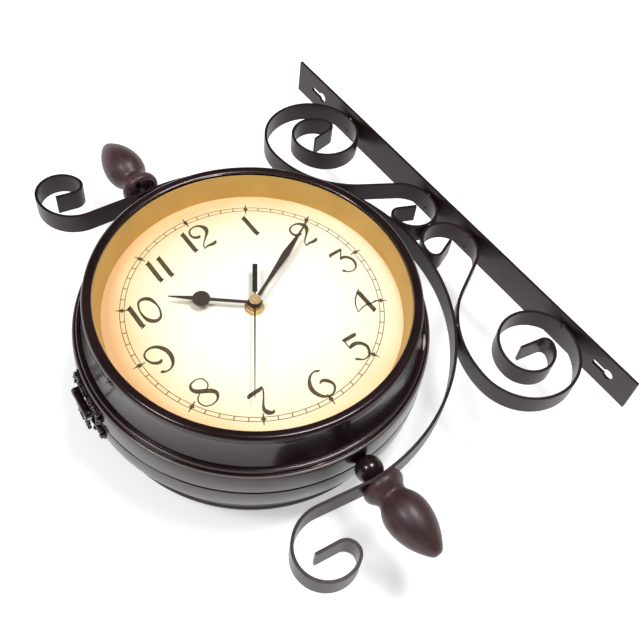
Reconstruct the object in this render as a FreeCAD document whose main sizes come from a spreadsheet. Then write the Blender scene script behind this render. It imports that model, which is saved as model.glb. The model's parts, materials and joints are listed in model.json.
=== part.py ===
import FreeCAD, Part
import Sketcher
import math
import os
from FreeCAD import Placement, Rotation, Vector

# Double sided station clock on a scrolled wall bracket, in millimetres.
# The origin is the middle of the wall plate's back face. X points into the wall, Z points up,
# and the front dial looks along -Y. The clock axis runs parallel to Y.

SIZES = {
    # wall plate
    "plate_length": 371,
    "plate_width": 28,
    "plate_thick": 2,
    "keyhole_pitch": 319,
    "keyhole_head_radius": 4,
    "keyhole_neck_radius": 2,
    "keyhole_run": 12,
    # bracket straps
    "wall_room": 40.9,
    "dial_drop": 6,
    "bracket_rise": 1.8,
    "strap_thick": 2,
    "weld_gap": 0.4,
    "weld_radius": 1.9,
    "hoop_width": 16,
    "ball_room": 18.1,
    "clamp_flat": 4,
    "lean_bend": 12,
    "upper_tail_lean": -3.4,
    "upper_tail_run": 40.2,
    "upper_tail_bend": 26.5,
    "upper_tail_bend_turn": 97.9,
    "upper_tail_coil": 16.8,
    "upper_tail_coil_turn": 158.3,
    "upper_tail_tip": 7.1,
    "upper_tail_tip_turn": 111,
    "upper_tail_end": 13.4,
    "lower_tail_lean": 8.3,
    "lower_tail_run": 37.2,
    "lower_tail_bend": 26.8,
    "lower_tail_bend_turn": 66.4,
    "lower_tail_coil": 19.7,
    "lower_tail_coil_turn": 159.5,
    "lower_tail_tip": 8,
    "lower_tail_tip_turn": 136.2,
    "lower_tail_end": 15.8,
    "scroll_width": 15,
    "scroll_height": 119,
    "loop_inner_bend": 26,
    "loop_inner_turn": 180,
    "loop_core_bend": 18,
    "loop_core_turn": 160,
    "loop_tip_bend": 5,
    "loop_tip_turn": 100,
    "loop_end": 16.5,
    "rise_bend": 70,
    "rise_heading": 29,
    "curl_turn": 99,
    "curl_coil": 17.5,
    "curl_coil_turn": 145,
    "curl_tip_bend": 6,
    "curl_tip_turn": 110,
    "curl_end": 14,
    # ball spacers, clamp bolts and finials
    "ball_flat": 3.8,
    "seat_clearance": 0.05,
    "bolt_diameter": 4,
    "bolt_clearance": 0.1,
    "thread_clearance": 0.02,
    "bolt_head_radius": 4,
    "bolt_head_height": 2.2,
    "clamp_nut_across": 7,
    "clamp_nut_height": 3.2,
    "finial_length": 54.3,
    "finial_base_radius": 12.2,
    "finial_collar_height": 7.8,
    "finial_neck_radius": 11.3,
    "finial_neck_length": 6.2,
    "finial_bulb_radius": 13.4,
    "finial_bulb_length": 19.5,
    "finial_brow_radius": 9.6,
    "finial_brow_length": 12.8,
    "finial_tip_radius": 2.5,
    "finial_recess_radius": 8.5,
    "finial_recess_depth": 6,
    "finial_thread_depth": 22,
    "thread_end_gap": 2,
    "top_finial_lift": 7,
    # clock case, from its opening outwards
    "opening_radius": 100,
    "rim_lip": 6.4,
    "rim_edge": 1.8,
    "cove_step": 1.8,
    "cove_foot": 26,
    "bead_step": 3.8,
    "bead_height": 1.6,
    "flange_step": 3.2,
    "flange_width": 18.6,
    "flange_edge": 1.4,
    "belt_step": 0.8,
    "belt_width": 9,
    "case_half_depth": 48.3,
    "case_wall": 1.2,
    "seam_gap": 0.3,
    "seam_edge": 0.7,
    "seam_offset": 5,
    # what each half of the case holds
    "glass_thick": 2,
    "glass_clearance": 1,
    "reveal_wall": 0.8,
    "reveal_step": 0.4,
    "reveal_taper": 3.1,
    "dial_depth": 21,
    "dial_thick": 1,
    "dial_overlap": 1.5,
    "pan_lip": 1.5,
    "pan_wall": 1.2,
    "pan_clearance": 0.4,
    "stud_inset": 3.1,
    "first_stud_angle": 150,
    "stud_diameter": 3,
    "stud_length": 5,
    "stud_clearance": 0.2,
    "stud_nut_across": 5.5,
    "stud_nut_height": 2.4,
    "movement_width": 56,
    "movement_thick": 16,
    "movement_corner": 3,
    "bay_length": 51.5,
    "bay_height": 15,
    "bay_depth": 15,
    "bay_edge": 2,
    "cover_width": 52,
    "cover_thick": 1.5,
    "cover_gap": 3,
    "cell_diameter": 14.2,
    "cell_length": 49.2,
    "cell_nub_radius": 2.7,
    "cell_nub_length": 1.2,
    "cell_seat": 0.3,
    "knob_radius": 5.5,
    "knob_thick": 3,
    "knob_gap": 0.3,
    "knob_stem_radius": 1.5,
    "knob_stem_length": 7,
    "knob_offset_x": 14,
    "knob_offset_z": 12,
    "running_clearance": 0.06,
    # the stack at the dial's centre
    "bush_radius": 4,
    "bush_seat": 2,
    "bush_rise": 4.2,
    "bush_clearance": 0.2,
    "washer_radius": 6.4,
    "washer_thick": 0.5,
    "dial_nut_across": 11,
    "dial_nut_height": 2.6,
    "arbor_seat": 5,
    "arbor_rise": 0.3,
    "hour_tube_radius": 2.54,
    "minute_arbor_radius": 1.7,
    "second_pipe_radius": 0.9,
    "hand_thick": 0.6,
    "hand_gap": 0.9,
    "cap_radius": 3.85,
    "cap_thick": 1.6,
    "cap_edge": 0.8,
    "hour_length": 55,
    "hour_stem_width": 2.2,
    "hour_blob_start": 28.5,
    "hour_blob_end": 39.5,
    "hour_blob_neck": 3,
    "hour_hub_radius": 4.6,
    "hour_angle": 308,
    "minute_length": 79,
    "minute_stem_width": 2.2,
    "minute_belly_start": 18,
    "minute_belly_reach": 45,
    "minute_belly_width": 5,
    "minute_neck_reach": 65,
    "minute_neck_width": 1.4,
    "minute_hub_radius": 4.2,
    "minute_angle": 61.5,
    "hand_tip_width": 0.5,
    "second_length": 71.5,
    "second_width": 1.2,
    "second_tail_start": 6.5,
    "second_tail_end": 29,
    "second_tail_width": 3.2,
    "second_hub_radius": 2.6,
    "second_angle": 214,
    # hinge on the wall side of the case
    "barrel_radius": 2.5,
    "barrel_gap": 0.3,
    "knuckle_height": 12,
    "knuckle_gap": 0.3,
    "hinge_pin_radius": 1.2,
    "pin_head_radius": 2.2,
    "pin_head_height": 1,
    "plate_skin": 1.2,
    "leaf_start": 3.2,
    "leaf_height": 30,
    # hasp on the free side of the case
    "latch_angle": 4.6,
    "hasp_plate_height": 34,
    "hasp_ear_height": 4,
    "hasp_pin_stand": 4.2,
    "hasp_pin_offset": 5.5,
    "hasp_barrel_radius": 2.4,
    "hasp_pin_radius": 0.8,
    "hasp_pin_head_radius": 1.5,
    "hasp_pin_head_height": 0.6,
    "hasp_height": 14,
    "hasp_thick": 1.4,
    "hasp_reach": 20.5,
    "hasp_hole_radius": 1.5,
    "hasp_hole_pitch": 4.5,
    "catch_plate_height": 34,
    "catch_stud_radius": 2.4,
    "catch_stud_place": 9,
    "catch_stud_rise": 6.2,
    "catch_rivet_radius": 1.2,
    "fork_clearance": 0.5,
}

# Counts, and the longest turn in degrees that one arc of a strap takes.
STUDS = 3
KNOB_SIDES = 14
BALL_SIDES = 8
FINIAL_SIDES = 3
LONGEST_STRETCH = 120

# How far an arc side bows: the tangent of a quarter of its turn, positive to the left.
QUARTER_ROUND = math.tan(math.radians(90 / 4))
HALF_ROUND = 1.0
COLLAR_BOW = 0.52
NECK_BOW = 0.39
BULB_BOW = 0.17
BROW_BOW = 0.11
TIP_BOW = 0.14
BLOB_BOW = 0.85
LOBE_BOW = 0.55

document = FreeCAD.newDocument("station_clock")
sheet = document.addObject("Spreadsheet::Sheet", "Sizes")
for row, (name, amount) in enumerate(SIZES.items(), start=1):
    sheet.set(f"A{row}", name.replace("_", " "))
    sheet.set(f"B{row}", str(amount))
    sheet.setAlias(f"B{row}", name)
document.recompute()


class Size:
    """A length that knows its number and the spreadsheet formula that gives it."""

    def __init__(self, number, formula):
        self.number = number
        self.formula = formula

    def __add__(self, other):
        other = as_size(other)
        return Size(self.number + other.number, f"({self.formula} + {other.formula})")

    def __sub__(self, other):
        other = as_size(other)
        return Size(self.number - other.number, f"({self.formula} - {other.formula})")

    def __mul__(self, other):
        other = as_size(other)
        return Size(self.number * other.number, f"({self.formula} * {other.formula})")

    def __truediv__(self, other):
        other = as_size(other)
        return Size(self.number / other.number, f"({self.formula} / {other.formula})")

    def __neg__(self):
        return Size(-self.number, f"(0 - {self.formula})")

    def __radd__(self, other):
        return as_size(other) + self

    def __rsub__(self, other):
        return as_size(other) - self

    def __rmul__(self, other):
        return as_size(other) * self


def as_size(value):
    if isinstance(value, Size):
        return value
    return Size(float(value), f"({float(value):.9f})")


def root(value):
    return Size(math.sqrt(value.number), f"sqrt({value.formula})")


def leg(slant, side):
    """The other short side of a right triangle."""
    return root(slant * slant - side * side)


class Sheet:
    """The spreadsheet's cells as sizes, one attribute for each alias."""


size = Sheet()
for name in SIZES:
    setattr(size, name, Size(float(sheet.get(name)), f"Sizes.{name}"))


# ---------------------------------------------------------------- drawing tools

def bind(thing, path, value):
    value = as_size(value)
    if "Sizes." in value.formula:
        thing.setExpression(path, value.formula)


def new_body(label):
    body = document.addObject("PartDesign::Body", label)
    body.Label = label
    return body


def new_sketch(body, name, plane, offset=0):
    """An empty sketch on one of the body's own origin planes, moved off along its normal.

    The normals are +Z for XY_Plane, -Y for XZ_Plane and +X for YZ_Plane.
    """
    sketch = body.newObject("Sketcher::SketchObject", f"{body.Name}_{name}")
    base = next(f for f in body.Origin.OriginFeatures if f.Role == plane)
    sketch.AttachmentSupport = [(base, "")]
    sketch.MapMode = "FlatFace"
    offset = as_size(offset)
    sketch.AttachmentOffset = Placement(Vector(0, 0, offset.number), Rotation())
    bind(sketch, "AttachmentOffset.Base.z", offset)
    return sketch


def bowed_side(start, end, bow):
    half = (end - start).Length / 2
    along = (end - start) / (2 * half)
    left = Vector(-along.y, along.x, 0)
    radius = half * (1 + bow**2) / (2 * abs(bow))
    centre = (start + end) / 2 + left * (half * (1 - bow**2) / (2 * bow))
    first, last = (start, end) if bow > 0 else (end, start)
    opening = math.atan2(first.y - centre.y, first.x - centre.x)
    closing = math.atan2(last.y - centre.y, last.x - centre.x)
    if closing <= opening:
        closing += 2 * math.pi
    return Part.ArcOfCircle(Part.Circle(centre, Vector(0, 0, 1), radius), opening, closing)


def bow_radius(before, corner):
    """The radius of a bowed side, from the corners at its two ends."""
    bow = corner[2]
    wide = as_size(corner[0]) - as_size(before[0])
    high = as_size(corner[1]) - as_size(before[1])
    return root(wide * wide + high * high) * ((1 + bow**2) / (4 * abs(bow)))


def half_round_centre(before, corner):
    """A half round is set by its centre's place, along the line that its two ends leave free."""
    wide = as_size(corner[0]) - as_size(before[0])
    high = as_size(corner[1]) - as_size(before[1])
    if abs(wide.number) > abs(high.number):
        return "DistanceY", as_size(before[1]) + high / 2
    return "DistanceX", as_size(before[0]) + wide / 2


def draw_outline(sketch, corners):
    """Close an outline through corners (x, y) or (x, y, bow); a bow bends the side that ends there."""
    first = sketch.GeometryCount
    spots = [Vector(as_size(c[0]).number, as_size(c[1]).number, 0) for c in corners]
    starts, ends = [], []
    for i, corner in enumerate(corners):
        bow = corner[2] if len(corner) > 2 else 0
        if bow:
            sketch.addGeometry(bowed_side(spots[i - 1], spots[i], bow), False)
        else:
            sketch.addGeometry(Part.LineSegment(spots[i - 1], spots[i]), False)
        starts.append(1 if bow >= 0 else 2)
        ends.append(2 if bow >= 0 else 1)
    rules = []
    for i in range(len(corners)):
        after = (i + 1) % len(corners)
        rules.append(Sketcher.Constraint("Coincident", first + i, ends[i], first + after, starts[after]))
    bound = []
    for i, corner in enumerate(corners):
        for kind, value in zip(("DistanceX", "DistanceY"), corner[:2]):
            value = as_size(value)
            bound.append((len(rules), value))
            rules.append(Sketcher.Constraint(kind, -1, 1, first + i, ends[i], value.number))
        if len(corner) > 2 and abs(corner[2]) == HALF_ROUND:
            kind, middle = half_round_centre(corners[i - 1], corner)
            bound.append((len(rules), middle))
            rules.append(Sketcher.Constraint(kind, -1, 1, first + i, 3, middle.number))
        elif len(corner) > 2 and corner[2]:
            radius = bow_radius(corners[i - 1], corner)
            bound.append((len(rules), radius))
            rules.append(Sketcher.Constraint("Radius", first + i, radius.number))
    offset = sketch.ConstraintCount
    sketch.addConstraint(rules)
    for index, value in bound:
        bind(sketch, f"Constraints[{offset + index}]", value)


def with_straight_sides(corners, count):
    """The same outline, with each bowed side as a few straight ones between spots on its arc."""
    outline = []
    for i, corner in enumerate(corners):
        if len(corner) > 2:
            x, y = as_size(corners[i - 1][0]), as_size(corners[i - 1][1])
            wide = as_size(corner[0]) - x
            high = as_size(corner[1]) - y
            half_turn = 2 * math.atan(corner[2])
            for step in range(1, count):
                angle = half_turn * (2 * step / count - 1)
                along = (1 + math.sin(angle) / math.sin(half_turn)) / 2
                aside = (math.cos(angle) - math.cos(half_turn)) / math.sin(half_turn) / 2
                outline.append((x + wide * along + high * aside, y + high * along - wide * aside))
        outline.append(corner[:2])
    return outline


def draw_circle(sketch, x, y, radius):
    x, y, radius = as_size(x), as_size(y), as_size(radius)
    circle = Part.Circle(Vector(x.number, y.number, 0), Vector(0, 0, 1), radius.number)
    index = sketch.addGeometry(circle, False)
    for kind, value in (("DistanceX", x), ("DistanceY", y)):
        rule = sketch.addConstraint(Sketcher.Constraint(kind, -1, 1, index, 3, value.number))
        bind(sketch, f"Constraints[{rule}]", value)
    rule = sketch.addConstraint(Sketcher.Constraint("Radius", index, radius.number))
    bind(sketch, f"Constraints[{rule}]", radius)


def draw_box(sketch, left, right, low, high):
    draw_outline(sketch, [(left, low), (right, low), (right, high), (left, high)])


def draw_rounded_box(sketch, half_width, half_height, corner):
    """A centred box with quarter rounds at its corners."""
    draw_outline(sketch, [
        (half_width - corner, -half_height), (half_width, corner - half_height, QUARTER_ROUND),
        (half_width, half_height - corner), (half_width - corner, half_height, QUARTER_ROUND),
        (corner - half_width, half_height), (-half_width, half_height - corner, QUARTER_ROUND),
        (-half_width, corner - half_height), (corner - half_width, -half_height, QUARTER_ROUND)])


def draw_even_sides(sketch, x, y, corner_radius, count):
    """A regular outline such as a nut's, with its first corner to the right."""
    corners = []
    for i in range(count):
        angle = 2 * math.pi * i / count
        corners.append((x + corner_radius * math.cos(angle), y + corner_radius * math.sin(angle)))
    draw_outline(sketch, corners)


def pad(body, sketch, length, reverse=False, middle=False):
    feature = body.newObject("PartDesign::Pad", sketch.Name + "_pad")
    feature.Profile = sketch
    feature.Length = as_size(length).number
    bind(feature, "Length", length)
    feature.Reversed = reverse
    if middle:
        feature.SideType = "Symmetric"


def cut_through(body, sketch):
    feature = body.newObject("PartDesign::Pocket", sketch.Name + "_cut")
    feature.Profile = sketch
    feature.Type = "ThroughAll"
    feature.SideType = "Symmetric"


def cut_down(body, sketch, depth, along_normal=False):
    """A blind cut, against the sketch's normal unless told otherwise."""
    feature = body.newObject("PartDesign::Pocket", sketch.Name + "_cut")
    feature.Profile = sketch
    feature.Length = as_size(depth).number
    bind(feature, "Length", depth)
    feature.Reversed = along_normal


def revolve(body, sketch, angle=None):
    """A full turn about the sketch's vertical axis, or an even part of one to both sides."""
    feature = body.newObject("PartDesign::Revolution", sketch.Name + "_turn")
    feature.Profile = sketch
    feature.ReferenceAxis = (sketch, ["V_Axis"])
    feature.Angle = 360 if angle is None else angle.number
    if angle is not None:
        bind(feature, "Angle", angle)
        feature.Midplane = True


def turned(label, corners):
    """A round piece about the clock axis: corners are (radius, distance out from the seam)."""
    body = new_body(label)
    sketch = new_sketch(body, "profile", "XY_Plane")
    draw_outline(sketch, [(c[0], -as_size(c[1]), *(-bow for bow in c[2:])) for c in corners])
    revolve(body, sketch)
    return body


def tube(label, inner, outer, near, far):
    return turned(label, [(inner, near), (outer, near), (outer, far), (inner, far)])


def turned_upright(label, corners):
    """A round piece about its own Z axis: corners are (radius, height)."""
    body = new_body(label)
    sketch = new_sketch(body, "profile", "XZ_Plane")
    draw_outline(sketch, corners)
    revolve(body, sketch)
    return body


def place(body, x, y, z, turn=Rotation()):
    spot = [as_size(v) for v in (x, y, z)]
    body.Placement = Placement(Vector(*(v.number for v in spot)), turn)
    for letter, value in zip("xyz", spot):
        bind(body, f"Placement.Base.{letter}", value)
    return body


# ---------------------------------------------------------------- places that pieces share

UPSIDE_DOWN = Rotation(Vector(1, 0, 0), 180)
rim_radius = size.opening_radius + size.rim_lip
cove_foot_radius = rim_radius + size.cove_step
bead_radius = cove_foot_radius + size.bead_step
flange_radius = bead_radius + size.flange_step
case_radius = flange_radius + size.belt_step
case_inside = case_radius - size.case_wall
reveal_top = size.opening_radius - size.reveal_step
reveal_foot = reveal_top - size.reveal_taper
dial_radius = reveal_foot + size.dial_overlap
pan_radius = dial_radius + size.pan_lip

strap_half = size.strap_thick / 2
hoop_radius = case_radius + size.ball_room
hoop_outer = hoop_radius + size.strap_thick
hoop_middle = hoop_radius + strap_half
wall_reach = hoop_outer + size.wall_room
plate_face = wall_reach - size.plate_thick
axis_x = -wall_reach
axis_z = -size.dial_drop
bracket_z = axis_z + size.bracket_rise
bolt_radius = size.bolt_diameter / 2
bolt_hole = bolt_radius + size.bolt_clearance

shoulder = size.flange_width - size.case_wall
dial_face = size.case_half_depth - size.dial_depth
dial_back = dial_face - size.dial_thick
movement_front = dial_back - size.pan_wall
movement_back = movement_front - size.movement_thick
cover_back = movement_back - size.cover_thick
glass_front = size.case_half_depth - size.case_wall
glass_back = glass_front - size.glass_thick
bush_top = dial_face + size.bush_rise
arbor_end = movement_front - size.arbor_seat
hour_plane = bush_top + size.hand_gap
minute_plane = hour_plane + size.hand_thick + size.hand_gap
second_plane = minute_plane + size.hand_thick + size.hand_gap
cap_plane = second_plane + size.hand_thick
bay_z = -(size.movement_width / 2 - size.bay_edge - size.bay_height / 2)

hinge_x = case_radius + size.barrel_gap + size.barrel_radius
hasp_x = -(case_radius + size.hasp_pin_stand)
plate_end = size.flange_width - size.flange_edge
skin_outer = case_radius + size.plate_skin


def place_on_bracket(body, turn=Rotation()):
    """For pieces of the bracket, drawn about the hoop's axis at the bracket's middle plane."""
    return place(body, axis_x, 0, bracket_z, turn)


def place_at_seam(body, clock_angle=0):
    """For the hinge and the latch, drawn about the clock axis at the case's seam."""
    turn = Rotation(Vector(0, 1, 0), as_size(clock_angle).number)
    return place(body, axis_x, size.seam_offset, axis_z, turn)


def place_in_case(body, side, clock_angle=0):
    """For pieces of one half of the case; the back half is the front one turned about Z.

    The clock angle turns a hand clockwise from twelve.
    """
    half_turn = Rotation(Vector(0, 0, 1), 180 if side == "back" else 0)
    hand_turn = Rotation(Vector(0, 1, 0), as_size(clock_angle).number)
    return place(body, axis_x, size.seam_offset, axis_z, half_turn * hand_turn)


# ---------------------------------------------------------------- wall plate and straps

def make_wall_plate():
    """Flat plate with a keyhole at each end: a round hole for a screw's head under a narrow neck."""
    body = new_body("wall_plate")
    face = new_sketch(body, "face", "YZ_Plane")
    half_width = size.plate_width / 2
    half_length = size.plate_length / 2
    draw_box(face, -half_width, half_width, -half_length, half_length)
    pad(body, face, size.plate_thick, reverse=True)
    for name, sign in (("upper", 1), ("lower", -1)):
        middle = sign * size.keyhole_pitch / 2
        head_z = middle - size.keyhole_run / 2
        neck_z = middle + size.keyhole_run / 2
        head = new_sketch(body, name + "_keyhole_head", "YZ_Plane")
        draw_circle(head, 0, head_z, size.keyhole_head_radius)
        cut_through(body, head)
        neck = new_sketch(body, name + "_keyhole_neck", "YZ_Plane")
        half_neck = size.keyhole_neck_radius
        draw_outline(neck, [(-half_neck, head_z), (half_neck, head_z),
                            (half_neck, neck_z), (-half_neck, neck_z, HALF_ROUND)])
        cut_through(body, neck)


def follow(spot, heading, steps):
    """Walk from spot along heading, in degrees, by ("run", length) or ("bend", radius, turn).

    Each stop is (spot, heading, bow of the stretch that ends there). A long bend has a stop on its
    way, so that no stretch turns by a full half circle.
    """
    stops = [(spot, heading, 0)]
    for step in steps:
        angle = math.radians(heading)
        if step[0] == "run":
            spot = spot + Vector(math.cos(angle), math.sin(angle), 0) * step[1]
            stops.append((spot, heading, 0))
            continue
        side = math.copysign(1, step[2])
        centre = spot + Vector(-math.sin(angle), math.cos(angle), 0) * (side * step[1])
        stretches = math.ceil(abs(step[2]) / LONGEST_STRETCH)
        for _ in range(stretches):
            heading += step[2] / stretches
            angle = math.radians(heading)
            spot = centre - Vector(-math.sin(angle), math.cos(angle), 0) * (side * step[1])
            stops.append((spot, heading, math.tan(math.radians(step[2] / stretches / 4))))
    return stops


def backwards(stops):
    """The same walk taken the other way."""
    bows = [0] + [-stop[2] for stop in reversed(stops[1:])]
    return [(stop[0], stop[1] + 180, bow) for stop, bow in zip(reversed(stops), bows)]


def strap_outline(stops):
    """Both edges of a strap of even thickness whose middle line is the walk."""
    sides = []
    for sign in (-1, 1):
        side = []
        for spot, heading, bow in stops:
            angle = math.radians(heading)
            aside = Vector(-math.sin(angle), math.cos(angle), 0) * (sign * strap_half.number)
            side.append((spot + aside, bow))
        sides.append(side)
    there, back = sides
    back_bows = [0] + [-bow for _, bow in reversed(back[1:])]
    corners = [(spot.x, spot.y, bow) for spot, bow in there]
    corners += [(spot.x, spot.y, bow) for (spot, _), bow in zip(reversed(back), back_bows)]
    return corners


def make_strap(label, stops, width):
    body = new_body(label)
    edge = new_sketch(body, "edge", "XZ_Plane")
    draw_outline(edge, strap_outline(stops))
    pad(body, edge, width, middle=True)
    return place_on_bracket(body)


def tail_steps(end, side):
    """A tail of the hoop: flat at the clamp, then a lean to the case, a run and a coil away from it.

    The end is "upper" or "lower", and the side is 1 where the coil turns left.
    """
    def length(name):
        return getattr(size, f"{end}_tail_{name}").number

    return [("run", size.clamp_flat.number),
            ("bend", size.lean_bend.number, -side * length("lean")),
            ("run", length("run")),
            ("bend", length("bend"), side * length("bend_turn")),
            ("bend", length("coil"), side * length("coil_turn")),
            ("bend", length("tip"), side * length("tip_turn")),
            ("run", length("end"))]


def make_hoop():
    """The hoop goes half round the case on the wall side and ends in a tail above and below it."""
    radius = hoop_middle.number
    top = Vector(0, radius, 0)
    upper_tail = follow(top, 180, tail_steps("upper", -1))
    lower_tail = follow(-top, 180, tail_steps("lower", 1))
    around = follow(top, 0, [("bend", radius, -180)])
    body = make_strap("hoop_strap", backwards(upper_tail) + around[1:] + lower_tail[1:], size.hoop_width)
    holes = new_sketch(body, "clamp_bolt_holes", "XY_Plane")
    draw_circle(holes, 0, 0, bolt_hole)
    cut_through(body, holes)
    return body


class ScrollFit:
    """How the lower scroll lies between the wall plate and the hoop, about the clock axis.

    Its loop and its curl both touch the plate, its rise touches the hoop, and the top of its curl
    touches the upper scroll, which is the same strap the other way up. Each touch keeps a weld's gap.
    """

    def __init__(self):
        gap = size.weld_gap.number
        half = strap_half.number
        heading = math.radians(size.rise_heading.number)
        curl_heading = math.radians(size.rise_heading.number + size.curl_turn.number)
        coil = size.curl_coil.number
        self.rise = size.rise_bend.number
        self.wall_x = plate_face.number - gap - half
        self.loop_z = -size.scroll_height.number
        self.hoop_line = hoop_outer.number + gap + half
        self.rise_x = math.sqrt((self.rise + self.hoop_line) ** 2 - self.loop_z**2)
        self.loop = (self.wall_x - self.rise_x + self.rise) / 2
        run_x = self.rise_x - self.rise * math.sin(heading)
        run_z = self.loop_z + self.rise * math.cos(heading)
        slope = math.tan(heading)
        top = -half - gap / 2
        room = top - run_z - slope * (self.wall_x - run_x) - coil * (1 + math.cos(curl_heading))
        share = math.cos(heading) - slope * (1 - math.sin(heading)) - math.cos(curl_heading)
        self.curl = room / share
        self.run = (self.wall_x - self.curl * (1 - math.sin(heading)) - run_x) / math.cos(heading)
        self.curl_z = run_z + self.run * math.sin(heading) + self.curl * math.cos(heading)
        self.top_x = self.wall_x - self.curl + (self.curl - coil) * math.sin(curl_heading)

    def walk(self):
        contact = Vector(self.wall_x, self.loop_z, 0)
        inward = follow(contact, 90, [
            ("bend", size.loop_inner_bend.number, size.loop_inner_turn.number),
            ("bend", size.loop_core_bend.number, size.loop_core_turn.number),
            ("bend", size.loop_tip_bend.number, size.loop_tip_turn.number),
            ("run", size.loop_end.number)])
        outward = follow(contact, -90, [
            ("bend", self.loop, -180),
            ("bend", self.rise, size.rise_heading.number - 90),
            ("run", self.run),
            ("bend", self.curl, size.curl_turn.number),
            ("bend", size.curl_coil.number, size.curl_coil_turn.number),
            ("bend", size.curl_tip_bend.number, size.curl_tip_turn.number),
            ("run", size.curl_end.number)])
        return backwards(inward) + outward[1:]

    def touches(self):
        """Where the two scrolls lie against the plate, the hoop and each other."""
        gap = size.weld_gap.number / 2
        slant = self.rise + self.hoop_line
        reach = hoop_outer.number + gap
        spots = [(self.top_x, 0)]
        for sign in (1, -1):
            spots.append((plate_face.number - gap, sign * self.loop_z))
            spots.append((plate_face.number - gap, sign * self.curl_z))
            spots.append((reach * self.rise_x / slant, sign * reach * self.loop_z / slant))
        return spots


def make_scrolls(fit):
    lower = make_strap("lower_scroll", fit.walk(), size.scroll_width)
    mirrored = [(Vector(spot.x, -spot.y, 0), -heading, -bow) for spot, heading, bow in fit.walk()]
    upper = make_strap("upper_scroll", mirrored, size.scroll_width)
    return [lower, upper]


def make_weld_beads(fit, members):
    """A bead of weld fills the gap wherever a scroll lies against another member."""
    length = size.scroll_width.number
    beads = []
    for x, z in fit.touches():
        foot = Vector(axis_x.number + x, -length / 2, bracket_z.number + z)
        bead = Part.makeCylinder(size.weld_radius.number, length, foot, Vector(0, 1, 0))
        for member in members:
            bead = bead.cut(member.Shape)
        beads.append(max(bead.Solids, key=lambda solid: solid.Volume))
    feature = document.addObject("Part::Feature", "weld_beads")
    feature.Shape = Part.makeCompound(beads)
    feature.Placement = Placement()


# ---------------------------------------------------------------- clamps and finials

def make_ball_spacer(label, turn, rise):
    """A ball with two flats, one on the case and one against the hoop, bored for the clamp bolt.

    The rise is how far the hoop's axis lies above the clock's, seen from this end.
    """
    low = case_radius - rise + size.seat_clearance
    high = hoop_radius - size.seat_clearance
    flat = size.ball_flat
    round_bow = math.tan(math.atan2((high - low).number / 2, flat.number) / 2)
    ball = with_straight_sides([(bolt_hole, low), (flat, low), (flat, high, round_bow)], BALL_SIDES)
    body = turned_upright(label, ball + [(bolt_hole, high)])
    place_on_bracket(body, turn)


def make_clamp_bolt(label, turn, rise, lift):
    """A bolt from inside the case, through the ball and the hoop, into the finial's thread."""
    head_top = leg(case_inside, size.bolt_head_radius) - rise
    head_low = head_top - size.bolt_head_height
    end = hoop_outer + lift + size.finial_thread_depth - size.thread_end_gap
    body = turned_upright(label, [
        (0, head_low), (size.bolt_head_radius, head_low), (size.bolt_head_radius, head_top),
        (bolt_radius, head_top), (bolt_radius, end), (0, end)])
    place_on_bracket(body, turn)


def make_clamp_nuts():
    """The nut on each clamp bolt, against the outside of the hoop."""
    body = new_body("clamp_nuts")
    for name, level, down in (("top", hoop_outer, False), ("bottom", -hoop_outer, True)):
        sketch = new_sketch(body, name + "_nut", "XY_Plane", level)
        draw_even_sides(sketch, 0, 0, size.clamp_nut_across / math.sqrt(3), 6)
        draw_circle(sketch, 0, 0, bolt_radius + size.thread_clearance)
        pad(body, sketch, size.clamp_nut_height, reverse=down)
    place_on_bracket(body)


def make_finial(label, turn, lift):
    """A turned wooden finial: collar, waist and bulb, hollow under its collar for the nut."""
    base = hoop_outer + lift
    neck = base + size.finial_collar_height
    bulb = neck + size.finial_neck_length
    brow = bulb + size.finial_bulb_length
    shoulder_top = brow + size.finial_brow_length
    tip = base + size.finial_length
    thread = bolt_radius + size.thread_clearance
    outside = with_straight_sides([
        (size.finial_recess_radius, base),
        (size.finial_base_radius, base),
        (size.finial_neck_radius, neck, COLLAR_BOW),
        (size.finial_neck_radius, bulb, -NECK_BOW),
        (size.finial_bulb_radius, brow, BULB_BOW),
        (size.finial_brow_radius, shoulder_top, BROW_BOW),
        (size.finial_tip_radius, tip, TIP_BOW)], FINIAL_SIDES)
    body = turned_upright(label, outside + [
        (0, tip),
        (0, base + size.finial_thread_depth),
        (thread, base + size.finial_thread_depth),
        (thread, base + size.finial_recess_depth),
        (size.finial_recess_radius, base + size.finial_recess_depth)])
    place_on_bracket(body, turn)


# ---------------------------------------------------------------- one half of the clock

def stud_places():
    """The studs that hold the pan, evenly round from the top left."""
    circle = flange_radius - size.case_wall - size.stud_inset
    turn = 360 / STUDS
    angles = [math.radians(size.first_stud_angle.number + turn * i) for i in range(STUDS)]
    return [(circle * math.cos(angle), circle * math.sin(angle)) for angle in angles]


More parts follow.
